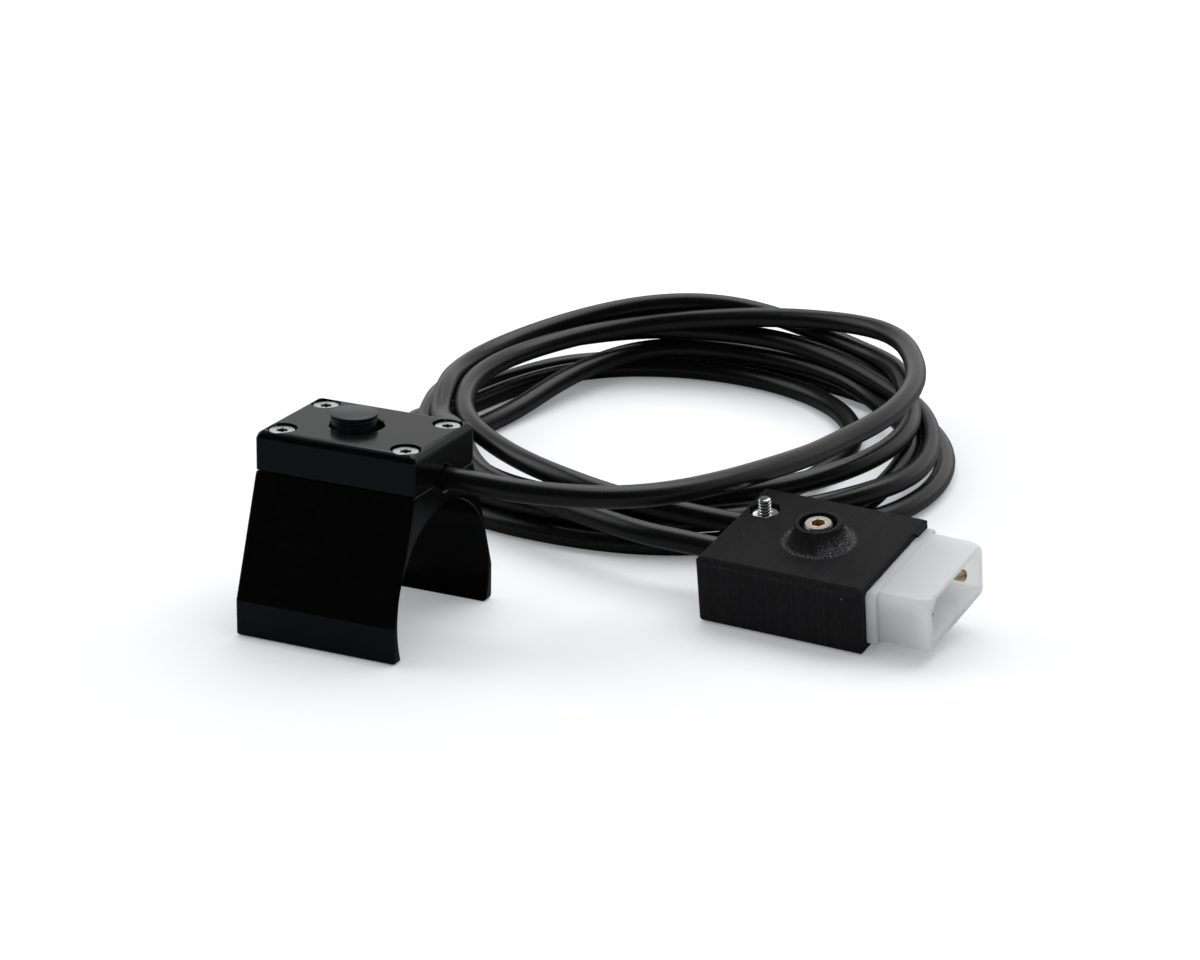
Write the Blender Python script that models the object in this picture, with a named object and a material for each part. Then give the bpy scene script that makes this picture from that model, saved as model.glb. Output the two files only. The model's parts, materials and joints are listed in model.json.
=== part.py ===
"""Saddle-mounted push-button switch with its cable and printed plug shell.

A bored saddle block clamps over a round body. A small housing sits on it with four screws and holds
a tactile switch and its push cap. A round cable leaves between the two, lies in a coil beside the
saddle, and ends in a printed shell around a two-pin nylon plug.

Metres, +Z up. The origin is on the floor, under the middle of the saddle. X runs along the saddle
towards the end where the cable leaves, and Y runs across it.
"""
import math

import bmesh
import bpy
from mathutils import Matrix, Vector

# General clearances
CLEARANCE = 0.0003
CUT_OVERRUN = 0.0010
JOIN_OVERLAP = 0.0003
WELD_DISTANCE = 0.00001
SHARP_ANGLE = math.radians(32)

# Saddle bracket, a block bored from end to end
BODY_LENGTH = 0.0330
BODY_WIDTH = 0.0238
BORE_RADIUS = 0.0182
BORE_CENTRE_HEIGHT = 0.0069
SIDE_WALL = 0.0015
CROWN_THICKNESS = 0.0046
FOOT_BAND_HEIGHT = 0.0070
SADDLE_END_ROUND = 0.0006
SADDLE_TOP_CHAMFER = 0.0004
FOOT_EDGE_ROUND = 0.0008
BORE_MOUTH_CHAMFER = 0.0002

# Switch housing, a block milled out from below
HOUSING_HEIGHT = 0.0075
HOUSING_ROOF = 0.0018
HOUSING_TOP_ROUND = 0.0016
HOUSING_CORNER_ROUND = 0.0008
HOUSING_END_WALL = 0.0025
HOUSING_SIDE_WALL = 0.0022
CAVITY_CORNER_ROUND = 0.0015

# Countersunk six-lobe screws that hold the housing down
SCREW_INSET = 0.0037
SCREW_LAND_RADIUS = 0.0034
SCREW_HEAD_RADIUS = 0.00235
SCREW_HEAD_RIM = 0.0003
SCREW_SHANK_RADIUS = 0.00125
SCREW_LENGTH = 0.0100
SCREW_HEAD_DEPTH = 0.00045
SCREW_RECESS_RADIUS = 0.00285
SCREW_END_CHAMFER = 0.0003
SCREW_DRILL_POINT = 0.0009
LOBE_MEAN_RADIUS = 0.00104
LOBE_HEIGHT = 0.00016
LOBE_DEPTH = 0.0010

# Push cap and the hole that it stands in
HOLE_X = -0.0017
HOLE_RADIUS = 0.00515
HOLE_CHAMFER = 0.0002
CAP_OFFSET = 0.0006
CAP_PROUD = 0.0022
CAP_DISC_RADIUS = 0.0044
CAP_DISC_THICKNESS = 0.00055
CAP_EDGE_ROUND = 0.00018
CAP_GROOVE_DEPTH = 0.00022
CAP_GROOVE_WIDTH = 0.00014
CAP_RING_WIDTH = 0.00038
CAP_SKIRT_RADIUS = 0.0042
CAP_SOCKET_DEPTH = 0.0022
BUTTON_TRAVEL = 0.0005

# Tactile switch under the cap
BOARD_LENGTH = 0.0150
BOARD_WIDTH = 0.0124
BOARD_THICKNESS = 0.0010
BOARD_BACK_REACH = 0.0069
BOARD_POCKET_DEPTH = 0.0015
BOARD_CORNER_ROUND = 0.0003
CASE_SIDE = 0.0120
CASE_CORNER_ROUND = 0.0006
CASE_FLOOR = 0.0008
CASE_BORE_RADIUS = 0.0035
DOME_RADIUS = 0.0031
DOME_RISE = 0.0003
DOME_THICKNESS = 0.00015
DOME_PLAY = 0.00015
STEM_FLANGE_RADIUS = 0.0031
STEM_FLANGE_THICKNESS = 0.0008
STEM_RADIUS = 0.0018
COVER_THICKNESS = 0.0003

# Cable, its hole in the joint, and the crimped ring that stops it being pulled out
CABLE_RADIUS = 0.0022
CABLE_Y = 0.0006
CABLE_REACH_INSIDE = 0.0070
CABLE_HOLE_CHAMFER = 0.0003
STOP_RING_WALL = 0.0007
STOP_RING_LENGTH = 0.0025
CORE_RADIUS = 0.0006
CORE_SPACING = 0.0015
CORE_PAD_SPACING = 0.0044
CORE_PAD_INSET = 0.0010

# Coil of cable on the floor
COIL_X = 0.0110
COIL_Y = 0.1100
COIL_INNER_RADIUS = 0.0435
COIL_OUTER_RADIUS = 0.0625
COIL_HEIGHT = 0.0175
COIL_EDGE_ROUND = 0.0022

# Printed shell of the plug, which leans back on the screw head under it
SHELL_LENGTH = 0.0338
SHELL_WIDTH = 0.0300
SHELL_HEIGHT = 0.0135
SHELL_CHAMFER = 0.0012
SHELL_SMALL_EDGE = 0.0005
SHELL_TILT = math.radians(10.5)
SHELL_TURN = math.radians(-4.0)
SHELL_X = 0.0573
SHELL_Y = 0.0414
SHELL_FLOOR_GAP = 0.00005
SHELL_FLOOR_WALL = 0.00175
SHELL_CABLE_BLOCK = 0.0070
SHELL_CABLE_REACH = 0.0085
MOUTH_EAR_LENGTH = 0.0009
MOUTH_EAR_START = 0.00845
MOUTH_EAR_END = 0.0136
MOUTH_EAR_ROUND = 0.0002

# Boss and cap screw in the middle of the shell
BOSS_X = 0.0186
BOSS_Y = -0.0005
BOSS_HEIGHT = 0.0039
BOSS_BASE_RADIUS = 0.0065
BOSS_TOP_RADIUS = 0.0043
BOSS_BORE_RADIUS = 0.0036
BOSS_COLUMN_RADIUS = 0.0046
BOSS_FLARE_SHARES = ((0.42, 0.20), (0.72, 0.50))
CAP_SCREW_RADIUS = 0.0015
CAP_SCREW_HEAD_RADIUS = 0.00275
CAP_SCREW_HEAD_HEIGHT = 0.0030
CAP_SCREW_HEAD_DEPTH = 0.00015
CAP_SCREW_HEAD_EDGE = 0.0003
CAP_SCREW_SOCKET_FLATS = 0.0025
CAP_SCREW_SOCKET_DEPTH = 0.0015
CAP_SCREW_LENGTH = 0.0134
CAP_NUT_FLATS = 0.0055
CAP_NUT_HEIGHT = 0.0024
CAP_NUT_DEPTH = 0.0002
CAP_NUT_EDGE = 0.0003

# Clamp screw at the cable end of the shell
CLAMP_X = 0.0040
CLAMP_Y = 0.0062
CLAMP_SCREW_RADIUS = 0.00125
CLAMP_STUD_PROUD = 0.0025
CLAMP_STUD_EDGE = 0.0003
CLAMP_HEAD_RADIUS = 0.00225
CLAMP_HEAD_HEIGHT = 0.0025
CLAMP_SOCKET_FLATS = 0.0020
CLAMP_SOCKET_DEPTH = 0.0012
CLAMP_WASHER_RADIUS = 0.0030
CLAMP_WASHER_THICKNESS = 0.0005
CLAMP_NUT_FLATS = 0.0050
CLAMP_NUT_HEIGHT = 0.0020
CLAMP_NUT_PROUD = 0.0003
CLAMP_NUT_EDGE = 0.0003

# Nylon plug in the mouth of the shell
PLUG_BODY_WIDTH = 0.0215
PLUG_BODY_HEIGHT = 0.0094
PLUG_BODY_START = 0.0236
PLUG_MIDDLE_HEIGHT = 0.0070
FLANGE_WIDTH = 0.0270
FLANGE_HEIGHT = 0.0108
FLANGE_THICKNESS = 0.00155
FLANGE_CORNER_ROUND = 0.0010
SHROUD_WIDTH = 0.0239
SHROUD_HEIGHT = 0.01055
SHROUD_LENGTH = 0.01035
SHROUD_WALL = 0.00145
SHROUD_TOP_WALL = 0.0010
SHROUD_INNER_KEY = 0.0020
SHROUD_EDGE_ROUND = 0.0005
SHROUD_MOUTH_ROUNDS = ((0.0027, 0.0005, 0.0005), (0.0012, 0.0011, 0.0007), (0.0, 0.0022, 0.0010))
SHROUD_CAVITY_DEPTH = 0.0083
CONTACT_PITCH = 0.00508
CONTACT_COUNT = 4
PIN_RADIUS = 0.00115
PIN_RECESS = 0.0015
PIN_TIP_ROUND = 0.0004
PIN_TIP_BORE_RADIUS = 0.0005
PIN_TIP_BORE_DEPTH = 0.0020
PIN_SLIT_WIDTH = 0.0003
PIN_CRIMP_RADIUS = 0.0010
PIN_CRIMP_START = 0.0180
PIN_NECK_RADIUS = 0.0008
PIN_NECK_LENGTH = 0.0012
PIN_NECK_STEP = 0.0003
PLUG_CORE_SWEEP = ((0.25, 0.22, 0.0), (0.55, 0.70, 0.5), (0.82, 0.97, 1.0))

# Facets round turned pieces
BORE_STEPS = 88
FINE_STEPS = 64
CAP_STEPS = 48
MEDIUM_STEPS = 40
CAP_HOLE_STEPS = 36
RING_STEPS = 32
SMALL_STEPS = 24
LOBE_STEPS = 36
DOME_STEPS = 5
CURVE_STEPS = 16
ROUND_STEPS = 3
TUBE_BEVEL_RESOLUTION = 3
ROUTE_SPACING = 0.0105
CORE_SPACING_ALONG = 0.0014

# Heights and places that follow from the sizes above
SADDLE_HEIGHT = BORE_CENTRE_HEIGHT + BORE_RADIUS + CROWN_THICKNESS
SADDLE_HALF_BASE = BORE_RADIUS + SIDE_WALL
HALF_LENGTH = BODY_LENGTH / 2
HALF_WIDTH = BODY_WIDTH / 2
HOUSING_FLOOR = SADDLE_HEIGHT + CLEARANCE
HOUSING_TOP = HOUSING_FLOOR + HOUSING_HEIGHT
CABLE_Z = SADDLE_HEIGHT + CLEARANCE / 2
CABLE_HOLE_RADIUS = CABLE_RADIUS + CLEARANCE
SCREW_X = HALF_LENGTH - SCREW_INSET
SCREW_Y = HALF_WIDTH - SCREW_INSET
SCREW_HOLE_RADIUS = SCREW_SHANK_RADIUS + CLEARANCE
SCREW_HEAD_TOP = HOUSING_TOP - SCREW_HEAD_DEPTH
BUTTON_X = HOLE_X - CAP_OFFSET
BOARD_FLOOR = SADDLE_HEIGHT - BOARD_POCKET_DEPTH + CLEARANCE
BOARD_TOP = BOARD_FLOOR + BOARD_THICKNESS
BOARD_BACK = BUTTON_X - BOARD_BACK_REACH
BOARD_FRONT = BOARD_BACK + BOARD_LENGTH
CASE_BOTTOM = BOARD_TOP + CLEARANCE
DOME_BOTTOM = CASE_BOTTOM + CASE_FLOOR + CLEARANCE
DOME_TOP = DOME_BOTTOM + DOME_RISE + DOME_THICKNESS
STEM_BOTTOM = DOME_TOP + DOME_PLAY + BUTTON_TRAVEL
STEM_SHOULDER = STEM_BOTTOM + STEM_FLANGE_THICKNESS
CASE_TOP = STEM_SHOULDER + CLEARANCE
COVER_BOTTOM = CASE_TOP + CLEARANCE
COVER_TOP = COVER_BOTTOM + COVER_THICKNESS
CAP_BOTTOM = COVER_TOP + BUTTON_TRAVEL + 2 * CLEARANCE
CAP_TOP = HOUSING_TOP + CAP_PROUD
SHELL_Z = SHELL_WIDTH / 2 * math.sin(SHELL_TILT) + SHELL_FLOOR_GAP
SHELL_HALF_WIDTH = SHELL_WIDTH / 2
SHELL_CABLE_Z = SHELL_HEIGHT / 2
FLANGE_START = SHELL_LENGTH + CLEARANCE
SHROUD_START = FLANGE_START + FLANGE_THICKNESS
SHROUD_END = SHROUD_START + SHROUD_LENGTH
ARC_MIDDLE = 1 - math.sqrt(0.5)

# Where the cable runs: straight out of the joint, round to the coil and along its top
LEAD_ROUTE = [
    (0.0235, 0.0005, 0.0298),
    (0.0305, 0.0018, 0.0293),
    (0.0385, 0.0062, 0.0283),
    (0.0455, 0.0132, 0.0270),
    (0.0515, 0.0235, 0.0257),
    (0.0560, 0.0370, 0.0243),
    (0.0595, 0.0530, 0.0228),
    (0.0620, 0.0690, 0.0214),
    (0.0635, 0.0860, 0.0204),
    (0.0628, 0.1060, 0.0201),
    (0.0602, 0.1220, 0.0201),
    (0.0560, 0.1365, 0.0201),
    (0.0498, 0.1490, 0.0201),
    (0.0405, 0.1590, 0.0201),
    (0.0280, 0.1645, 0.0201),
    (0.0130, 0.1655, 0.0201),
    (-0.0030, 0.1620, 0.0201),
    (-0.0170, 0.1540, 0.0201),
    (-0.0275, 0.1425, 0.0201),
    (-0.0340, 0.1285, 0.0201),
    (-0.0360, 0.1140, 0.0201),
]

# From beside the coil to the printed shell
TAIL_ROUTE = [
    (0.0120, 0.0445, 0.0094),
    (0.0200, 0.0443, 0.0098),
    (0.0277, 0.0436, 0.0100),
    (0.0379, 0.0411, 0.0099),
    (0.0470, 0.0406, 0.0097),
]


def clear_scene():
    """Remove whatever the file opened with."""
    for thing in list(bpy.data.objects):
        bpy.data.objects.remove(thing, do_unlink=True)


def make_material(name, colour, roughness, metallic=0.0):
    """Return a Principled material of one colour."""
    material = bpy.data.materials.new(name)
    material.use_nodes = True
    shader = material.node_tree.nodes["Principled BSDF"]
    shader.inputs["Base Color"].default_value = (*colour, 1.0)
    shader.inputs["Roughness"].default_value = roughness
    shader.inputs["Metallic"].default_value = metallic
    material.diffuse_color = (*colour, 1.0)
    return material


def add_object(name, bm, material=None, parent=None, location=(0, 0, 0)):
    """Turn a bmesh into a named object, shaded smooth with its sharp edges kept."""
    bmesh.ops.recalc_face_normals(bm, faces=bm.faces)
    mesh = bpy.data.meshes.new(name)
    bm.to_mesh(mesh)
    bm.free()
    mesh.shade_smooth()
    mesh.set_sharp_from_angle(angle=SHARP_ANGLE)
    if material is not None:
        mesh.materials.append(material)
    thing = bpy.data.objects.new(name, mesh)
    bpy.context.collection.objects.link(thing)
    thing.parent = parent
    thing.location = location
    return thing


def cut(target, name, bm, operation="DIFFERENCE", location=(0, 0, 0)):
    """Cut a shape out of an object, or join one to it, with a live Boolean modifier."""
    tool = add_object(name, bm, parent=target.parent, location=location)
    tool.hide_render = True
    tool.display_type = "WIRE"
    modifier = target.modifiers.new(name, "BOOLEAN")
    modifier.operation = operation
    modifier.solver = "EXACT"
    modifier.object = tool
    return tool


def weld(thing):
    """Merge the doubled points that a cut through a tilted piece can leave."""
    modifier = thing.modifiers.new("weld", "WELD")
    modifier.merge_threshold = WELD_DISTANCE


def extrude_outline(outline, low, high, axis="Z"):
    """Return a prism: a closed outline of (a, b) points pushed along one axis.

    Along Z the outline's points are (x, y), and along X they are (y, z).
    """
    bm = bmesh.new()
    if axis == "Z":
        rings = [[bm.verts.new((a, b, level)) for a, b in outline] for level in (low, high)]
    else:
        rings = [[bm.verts.new((level, a, b)) for a, b in outline] for level in (low, high)]
    count = len(outline)
    for index in range(count):
        after = (index + 1) % count
        bm.faces.new((rings[0][index], rings[0][after], rings[1][after], rings[1][index]))
    bm.faces.new(rings[0])
    bm.faces.new(rings[1])
    return bm


def round_corners(corners, radius, steps=ROUND_STEPS):
    """Return an outline whose corners, inner and outer ones, are arcs of one radius."""
    outline = []
    count = len(corners)
    for index, corner in enumerate(corners):
        here = Vector(corner)
        before = (Vector(corners[index - 1]) - here).normalized()
        after = (Vector(corners[(index + 1) % count]) - here).normalized()
        half = before.angle(after) / 2
        start = here + before * (radius / math.tan(half))
        end = here + after * (radius / math.tan(half))
        centre = here + (before + after).normalized() * (radius / math.sin(half))
        first = math.atan2(*reversed(start - centre))
        turn = math.atan2(*reversed(end - centre)) - first
        turn = (turn + math.pi) % (2 * math.pi) - math.pi
        for step in range(steps + 1):
            angle = first + turn * step / steps
            outline.append((centre.x + radius * math.cos(angle), centre.y + radius * math.sin(angle)))
    return outline


def rectangle(left, right, bottom, top):
    """Return the four corners of a rectangle, counter-clockwise."""
    return [(left, bottom), (right, bottom), (right, top), (left, top)]


def hexagon(across_flats):
    """Return a hexagon's corners, with two flats facing along Y."""
    radius = across_flats / math.sqrt(3)
    angles = [math.pi / 3 * side for side in range(6)]
    return [(radius * math.cos(angle), radius * math.sin(angle)) for angle in angles]


def six_lobe_outline(steps=LOBE_STEPS):
    """Return a six-lobe recess: a circle whose radius waves six times in one turn."""
    outline = []
    for step in range(steps):
        angle = 2 * math.pi * step / steps
        radius = LOBE_MEAN_RADIUS + LOBE_HEIGHT * math.cos(6 * angle)
        outline.append((radius * math.cos(angle), radius * math.sin(angle)))
    return outline


def turned(profile, steps, axis="Z", closed=False):
    """Return a turned shape from (radius, height) points, spun round Z or laid along X."""
    bm = bmesh.new()
    verts = [bm.verts.new((radius, 0.0, height)) for radius, height in profile]
    edges = [bm.edges.new(pair) for pair in zip(verts, verts[1:])]
    if closed:
        edges.append(bm.edges.new((verts[-1], verts[0])))
    bmesh.ops.spin(bm, geom=verts + edges, cent=(0, 0, 0), axis=(0, 0, 1), angle=2 * math.pi,
                   steps=steps, use_merge=True)
    bmesh.ops.remove_doubles(bm, verts=bm.verts, dist=0.000001)
    if axis == "X":
        bmesh.ops.rotate(bm, verts=bm.verts, cent=(0, 0, 0), matrix=Matrix.Rotation(math.pi / 2, 3, "Y"))
    return bm


def block(low, high):
    """Return a box between two corners."""
    return extrude_outline(rectangle(low[0], high[0], low[1], high[1]), low[2], high[2])


def bevel_edges(thing, width, segments, weight_of):
    """Round or chamfer chosen edges: weight_of gives each edge's share of the width, from its ends."""
    bm = bmesh.new()
    bm.from_mesh(thing.data)
    weights = bm.edges.layers.float.new("bevel_weight_edge")
    for edge in bm.edges:
        edge[weights] = weight_of(edge.verts[0].co, edge.verts[1].co)
    bm.to_mesh(thing.data)
    bm.free()
    modifier = thing.modifiers.new("edges", "BEVEL")
    modifier.limit_method = "WEIGHT"
    modifier.width = width
    modifier.segments = segments
    return modifier


def smooth_route(points, spacing):
    """Return evenly spaced points on a smooth curve through the given ones.

    Each span is a Catmull-Rom curve, whose direction at a point is that from the point before it to
    the point after it.
    """
    places = [Vector(point) for point in points]
    places = [places[0] * 2 - places[1]] + places + [places[-1] * 2 - places[-2]]
    fine = []
    for index in range(1, len(places) - 2):
        p0, p1, p2, p3 = places[index - 1:index + 3]
        for step in range(CURVE_STEPS):
            t = step / CURVE_STEPS
            fine.append(0.5 * (2 * p1 + (p2 - p0) * t + (2 * p0 - 5 * p1 + 4 * p2 - p3) * t * t
                               + (3 * p1 - p0 - 3 * p2 + p3) * t ** 3))
    fine.append(places[-2])
    lengths = [0.0]
    for before, after in zip(fine, fine[1:]):
        lengths.append(lengths[-1] + (after - before).length)
    count = max(2, round(lengths[-1] / spacing))
    route = []
    place = 0
    for step in range(count + 1):
        wanted = lengths[-1] * step / count
        while place < len(fine) - 2 and lengths[place + 1] < wanted:
            place += 1
        share = (wanted - lengths[place]) / (lengths[place + 1] - lengths[place])
        route.append(fine[place].lerp(fine[place + 1], share))
    return route


def add_tube(name, points, radius, spacing, material, parent=None):
    """Make a round tube with closed ends along a smooth route."""
    curve = bpy.data.curves.new(name, "CURVE")
    curve.dimensions = "3D"
    curve.bevel_depth = radius
    curve.bevel_resolution = TUBE_BEVEL_RESOLUTION
    curve.use_fill_caps = True
    route = smooth_route(points, spacing)
    spline = curve.splines.new("POLY")
    spline.points.add(len(route) - 1)
    for point, place in zip(spline.points, route):
        point.co = (*place, 1.0)
    spline.use_smooth = True
    curve.materials.append(material)
    thing = bpy.data.objects.new(name, curve)
    bpy.context.collection.objects.link(thing)
    thing.parent = parent
    return thing


def make_saddle(material):
    """The saddle: a house-shaped section pushed along X, bored through, and pocketed on top."""
    section = [
        (-SADDLE_HALF_BASE, 0.0), (SADDLE_HALF_BASE, 0.0),
        (SADDLE_HALF_BASE, FOOT_BAND_HEIGHT), (HALF_WIDTH, SADDLE_HEIGHT),
        (-HALF_WIDTH, SADDLE_HEIGHT), (-SADDLE_HALF_BASE, FOOT_BAND_HEIGHT),
    ]
    saddle = add_object("saddle_bracket", extrude_outline(section, -HALF_LENGTH, HALF_LENGTH, "X"), material)

    def weight(a, b):
        along = abs(a.x - b.x) > BODY_LENGTH / 2
        at_floor = max(a.z, b.z) < CLEARANCE
        at_top = min(a.z, b.z) > SADDLE_HEIGHT - CLEARANCE
        if at_top:
            return SADDLE_TOP_CHAMFER / FOOT_EDGE_ROUND
        if at_floor:
            return 1.0 if along else SADDLE_END_ROUND / FOOT_EDGE_ROUND
        return 0.0 if along else SADDLE_END_ROUND / FOOT_EDGE_ROUND

    bevel_edges(saddle, FOOT_EDGE_ROUND, ROUND_STEPS, weight)
    overrun = HALF_LENGTH + CUT_OVERRUN
    wide = BORE_RADIUS + BORE_MOUTH_CHAMFER
    bore = [
        (0.0, -overrun), (wide + CUT_OVERRUN, -overrun), (wide, -HALF_LENGTH),
        (BORE_RADIUS, -HALF_LENGTH + BORE_MOUTH_CHAMFER), (BORE_RADIUS, HALF_LENGTH - BORE_MOUTH_CHAMFER),
        (wide, HALF_LENGTH), (wide + CUT_OVERRUN, overrun), (0.0, overrun),
    ]
    cut(saddle, "bore_cutter", turned(bore, BORE_STEPS, "X"), location=(0, 0, BORE_CENTRE_HEIGHT))
    pocket = round_corners(rectangle(BOARD_BACK - CLEARANCE, BOARD_FRONT + CLEARANCE,
                                     -BOARD_WIDTH / 2 - CLEARANCE, BOARD_WIDTH / 2 + CLEARANCE),
                           BOARD_CORNER_ROUND + CLEARANCE)
    cut(saddle, "board_pocket_cutter",
        extrude_outline(pocket, SADDLE_HEIGHT - BOARD_POCKET_DEPTH, SADDLE_HEIGHT + CUT_OVERRUN))
    cut_cable_hole(saddle, "saddle_cable_cutter")
    screw_bottom = SCREW_HEAD_TOP - SCREW_LENGTH
    for index, (x, y) in enumerate(screw_places(), 1):
        hole = [(0.0, screw_bottom - SCREW_DRILL_POINT), (SCREW_HOLE_RADIUS, screw_bottom),
                (SCREW_HOLE_RADIUS, SADDLE_HEIGHT + CUT_OVERRUN), (0.0, SADDLE_HEIGHT + CUT_OVERRUN)]
        cut(saddle, f"tapped_hole_cutter_{index}", turned(hole, SMALL_STEPS), location=(x, y, 0))
    return saddle


def screw_places():
    """Return the four screw centres, from the corner at -X -Y round to -X +Y."""
    return [(-SCREW_X, -SCREW_Y), (SCREW_X, -SCREW_Y), (SCREW_X, SCREW_Y), (-SCREW_X, SCREW_Y)]


def stop_ring_radius():
    """Outer radius of the crimped ring on the cable."""
    return CABLE_RADIUS + CLEARANCE + STOP_RING_WALL


def stop_ring_span():
    """Where the crimped ring starts and ends along X, just inside the housing's end wall."""
    end = HALF_LENGTH - HOUSING_END_WALL - CLEARANCE
    return end - STOP_RING_LENGTH, end


def cut_cable_hole(target, name):
    """Cut the cable's round hole, half in the saddle and half in the housing, with room for its ring."""
    mouth = CABLE_HOLE_RADIUS + CABLE_HOLE_CHAMFER
    ring_room = stop_ring_radius() + CLEARANCE
    ring_start, ring_end = stop_ring_span()
    profile = [
        (0.0, BOARD_FRONT), (CABLE_HOLE_RADIUS, BOARD_FRONT),
        (CABLE_HOLE_RADIUS, ring_start - CLEARANCE), (ring_room, ring_start - CLEARANCE),
        (ring_room, ring_end + CLEARANCE), (CABLE_HOLE_RADIUS, ring_end + CLEARANCE),
        (CABLE_HOLE_RADIUS, HALF_LENGTH - CABLE_HOLE_CHAMFER), (mouth, HALF_LENGTH),
        (mouth + CUT_OVERRUN, HALF_LENGTH + CUT_OVERRUN), (0.0, HALF_LENGTH + CUT_OVERRUN),
    ]
    cut(target, name, turned(profile, MEDIUM_STEPS, "X"), location=(0, CABLE_Y, CABLE_Z))


def make_housing(material):
    """The switch housing: a rounded block milled out from below, with four solid corners for screws."""
    housing = add_object("switch_housing", block((-HALF_LENGTH, -HALF_WIDTH, HOUSING_FLOOR),
                                                 (HALF_LENGTH, HALF_WIDTH, HOUSING_TOP)), material)

    def weight(a, b):
        if min(a.z, b.z) > HOUSING_TOP - CLEARANCE:
            return 1.0
        if abs(a.z - b.z) > HOUSING_HEIGHT / 2:
            return HOUSING_CORNER_ROUND / HOUSING_TOP_ROUND
        return 0.0

    bevel_edges(housing, HOUSING_TOP_ROUND, ROUND_STEPS + 1, weight)
    long_x = HALF_LENGTH - HOUSING_END_WALL
    short_x = SCREW_X - SCREW_LAND_RADIUS
    wide_y = HALF_WIDTH - HOUSING_SIDE_WALL
    narrow_y = SCREW_Y - SCREW_LAND_RADIUS
    plus = [
        (-long_x, -narrow_y), (-short_x, -narrow_y), (-short_x, -wide_y), (short_x, -wide_y),
        (short_x, -narrow_y), (long_x, -narrow_y), (long_x, narrow_y), (short_x, narrow_y),
        (short_x, wide_y), (-short_x, wide_y), (-short_x, narrow_y), (-long_x, narrow_y),
    ]
    cut(housing, "cavity_cutter", extrude_outline(round_corners(plus, CAVITY_CORNER_ROUND),
                                                  HOUSING_FLOOR - CUT_OVERRUN, HOUSING_TOP - HOUSING_ROOF))
    case_room = CASE_SIDE / 2 + CLEARANCE
    cut(housing, "case_room_cutter",
        block((BUTTON_X - case_room, -case_room, HOUSING_FLOOR - 2 * CUT_OVERRUN),
              (BUTTON_X + case_room, case_room, COVER_TOP + CLEARANCE)))
    hole_bottom = HOUSING_TOP - HOUSING_ROOF - CUT_OVERRUN
    hole = [
        (0.0, hole_bottom), (HOLE_RADIUS, hole_bottom), (HOLE_RADIUS, HOUSING_TOP - HOLE_CHAMFER),
        (HOLE_RADIUS + HOLE_CHAMFER + CUT_OVERRUN, HOUSING_TOP + CUT_OVERRUN), (0.0, HOUSING_TOP + CUT_OVERRUN),
    ]
    cut(housing, "button_hole_cutter", turned(hole, FINE_STEPS), location=(HOLE_X, 0, 0))
    cut_cable_hole(housing, "housing_cable_cutter")
    cone_top = SCREW_HEAD_TOP - SCREW_HEAD_RIM - CLEARANCE
    cone_drop = SCREW_HEAD_RADIUS + CLEARANCE - SCREW_HOLE_RADIUS
    seat = [
        (0.0, HOUSING_FLOOR - CUT_OVERRUN), (SCREW_HOLE_RADIUS, HOUSING_FLOOR - CUT_OVERRUN),
        (SCREW_HOLE_RADIUS, cone_top - cone_drop), (SCREW_HEAD_RADIUS + CLEARANCE, cone_top),
        (SCREW_RECESS_RADIUS, cone_top), (SCREW_RECESS_RADIUS, HOUSING_TOP + CUT_OVERRUN),
        (0.0, HOUSING_TOP + CUT_OVERRUN),
    ]
    for index, (x, y) in enumerate(screw_places(), 1):
        cut(housing, f"screw_seat_cutter_{index}", turned(seat, RING_STEPS), location=(x, y, 0))
    return housing


def make_housing_screws(material):
    """Four countersunk screws, each turned from its profile with a six-lobe recess in the head."""
    cone = SCREW_HEAD_RADIUS - SCREW_SHANK_RADIUS
    profile = [
        (0.0, -SCREW_LENGTH), (SCREW_SHANK_RADIUS - SCREW_END_CHAMFER, -SCREW_LENGTH),
        (SCREW_SHANK_RADIUS, -SCREW_LENGTH + SCREW_END_CHAMFER), (SCREW_SHANK_RADIUS, -SCREW_HEAD_RIM - cone),
        (SCREW_HEAD_RADIUS, -SCREW_HEAD_RIM), (SCREW_HEAD_RADIUS, 0.0), (0.0, 0.0),
    ]
    for index, (x, y) in enumerate(screw_places(), 1):
        screw = add_object(f"housing_screw_{index}", turned(profile, RING_STEPS), material,
                           location=(x, y, SCREW_HEAD_TOP))
        cut(screw, f"lobe_cutter_{index}", extrude_outline(six_lobe_outline(), -LOBE_DEPTH, CUT_OVERRUN),
            location=(x, y, SCREW_HEAD_TOP))


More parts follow.
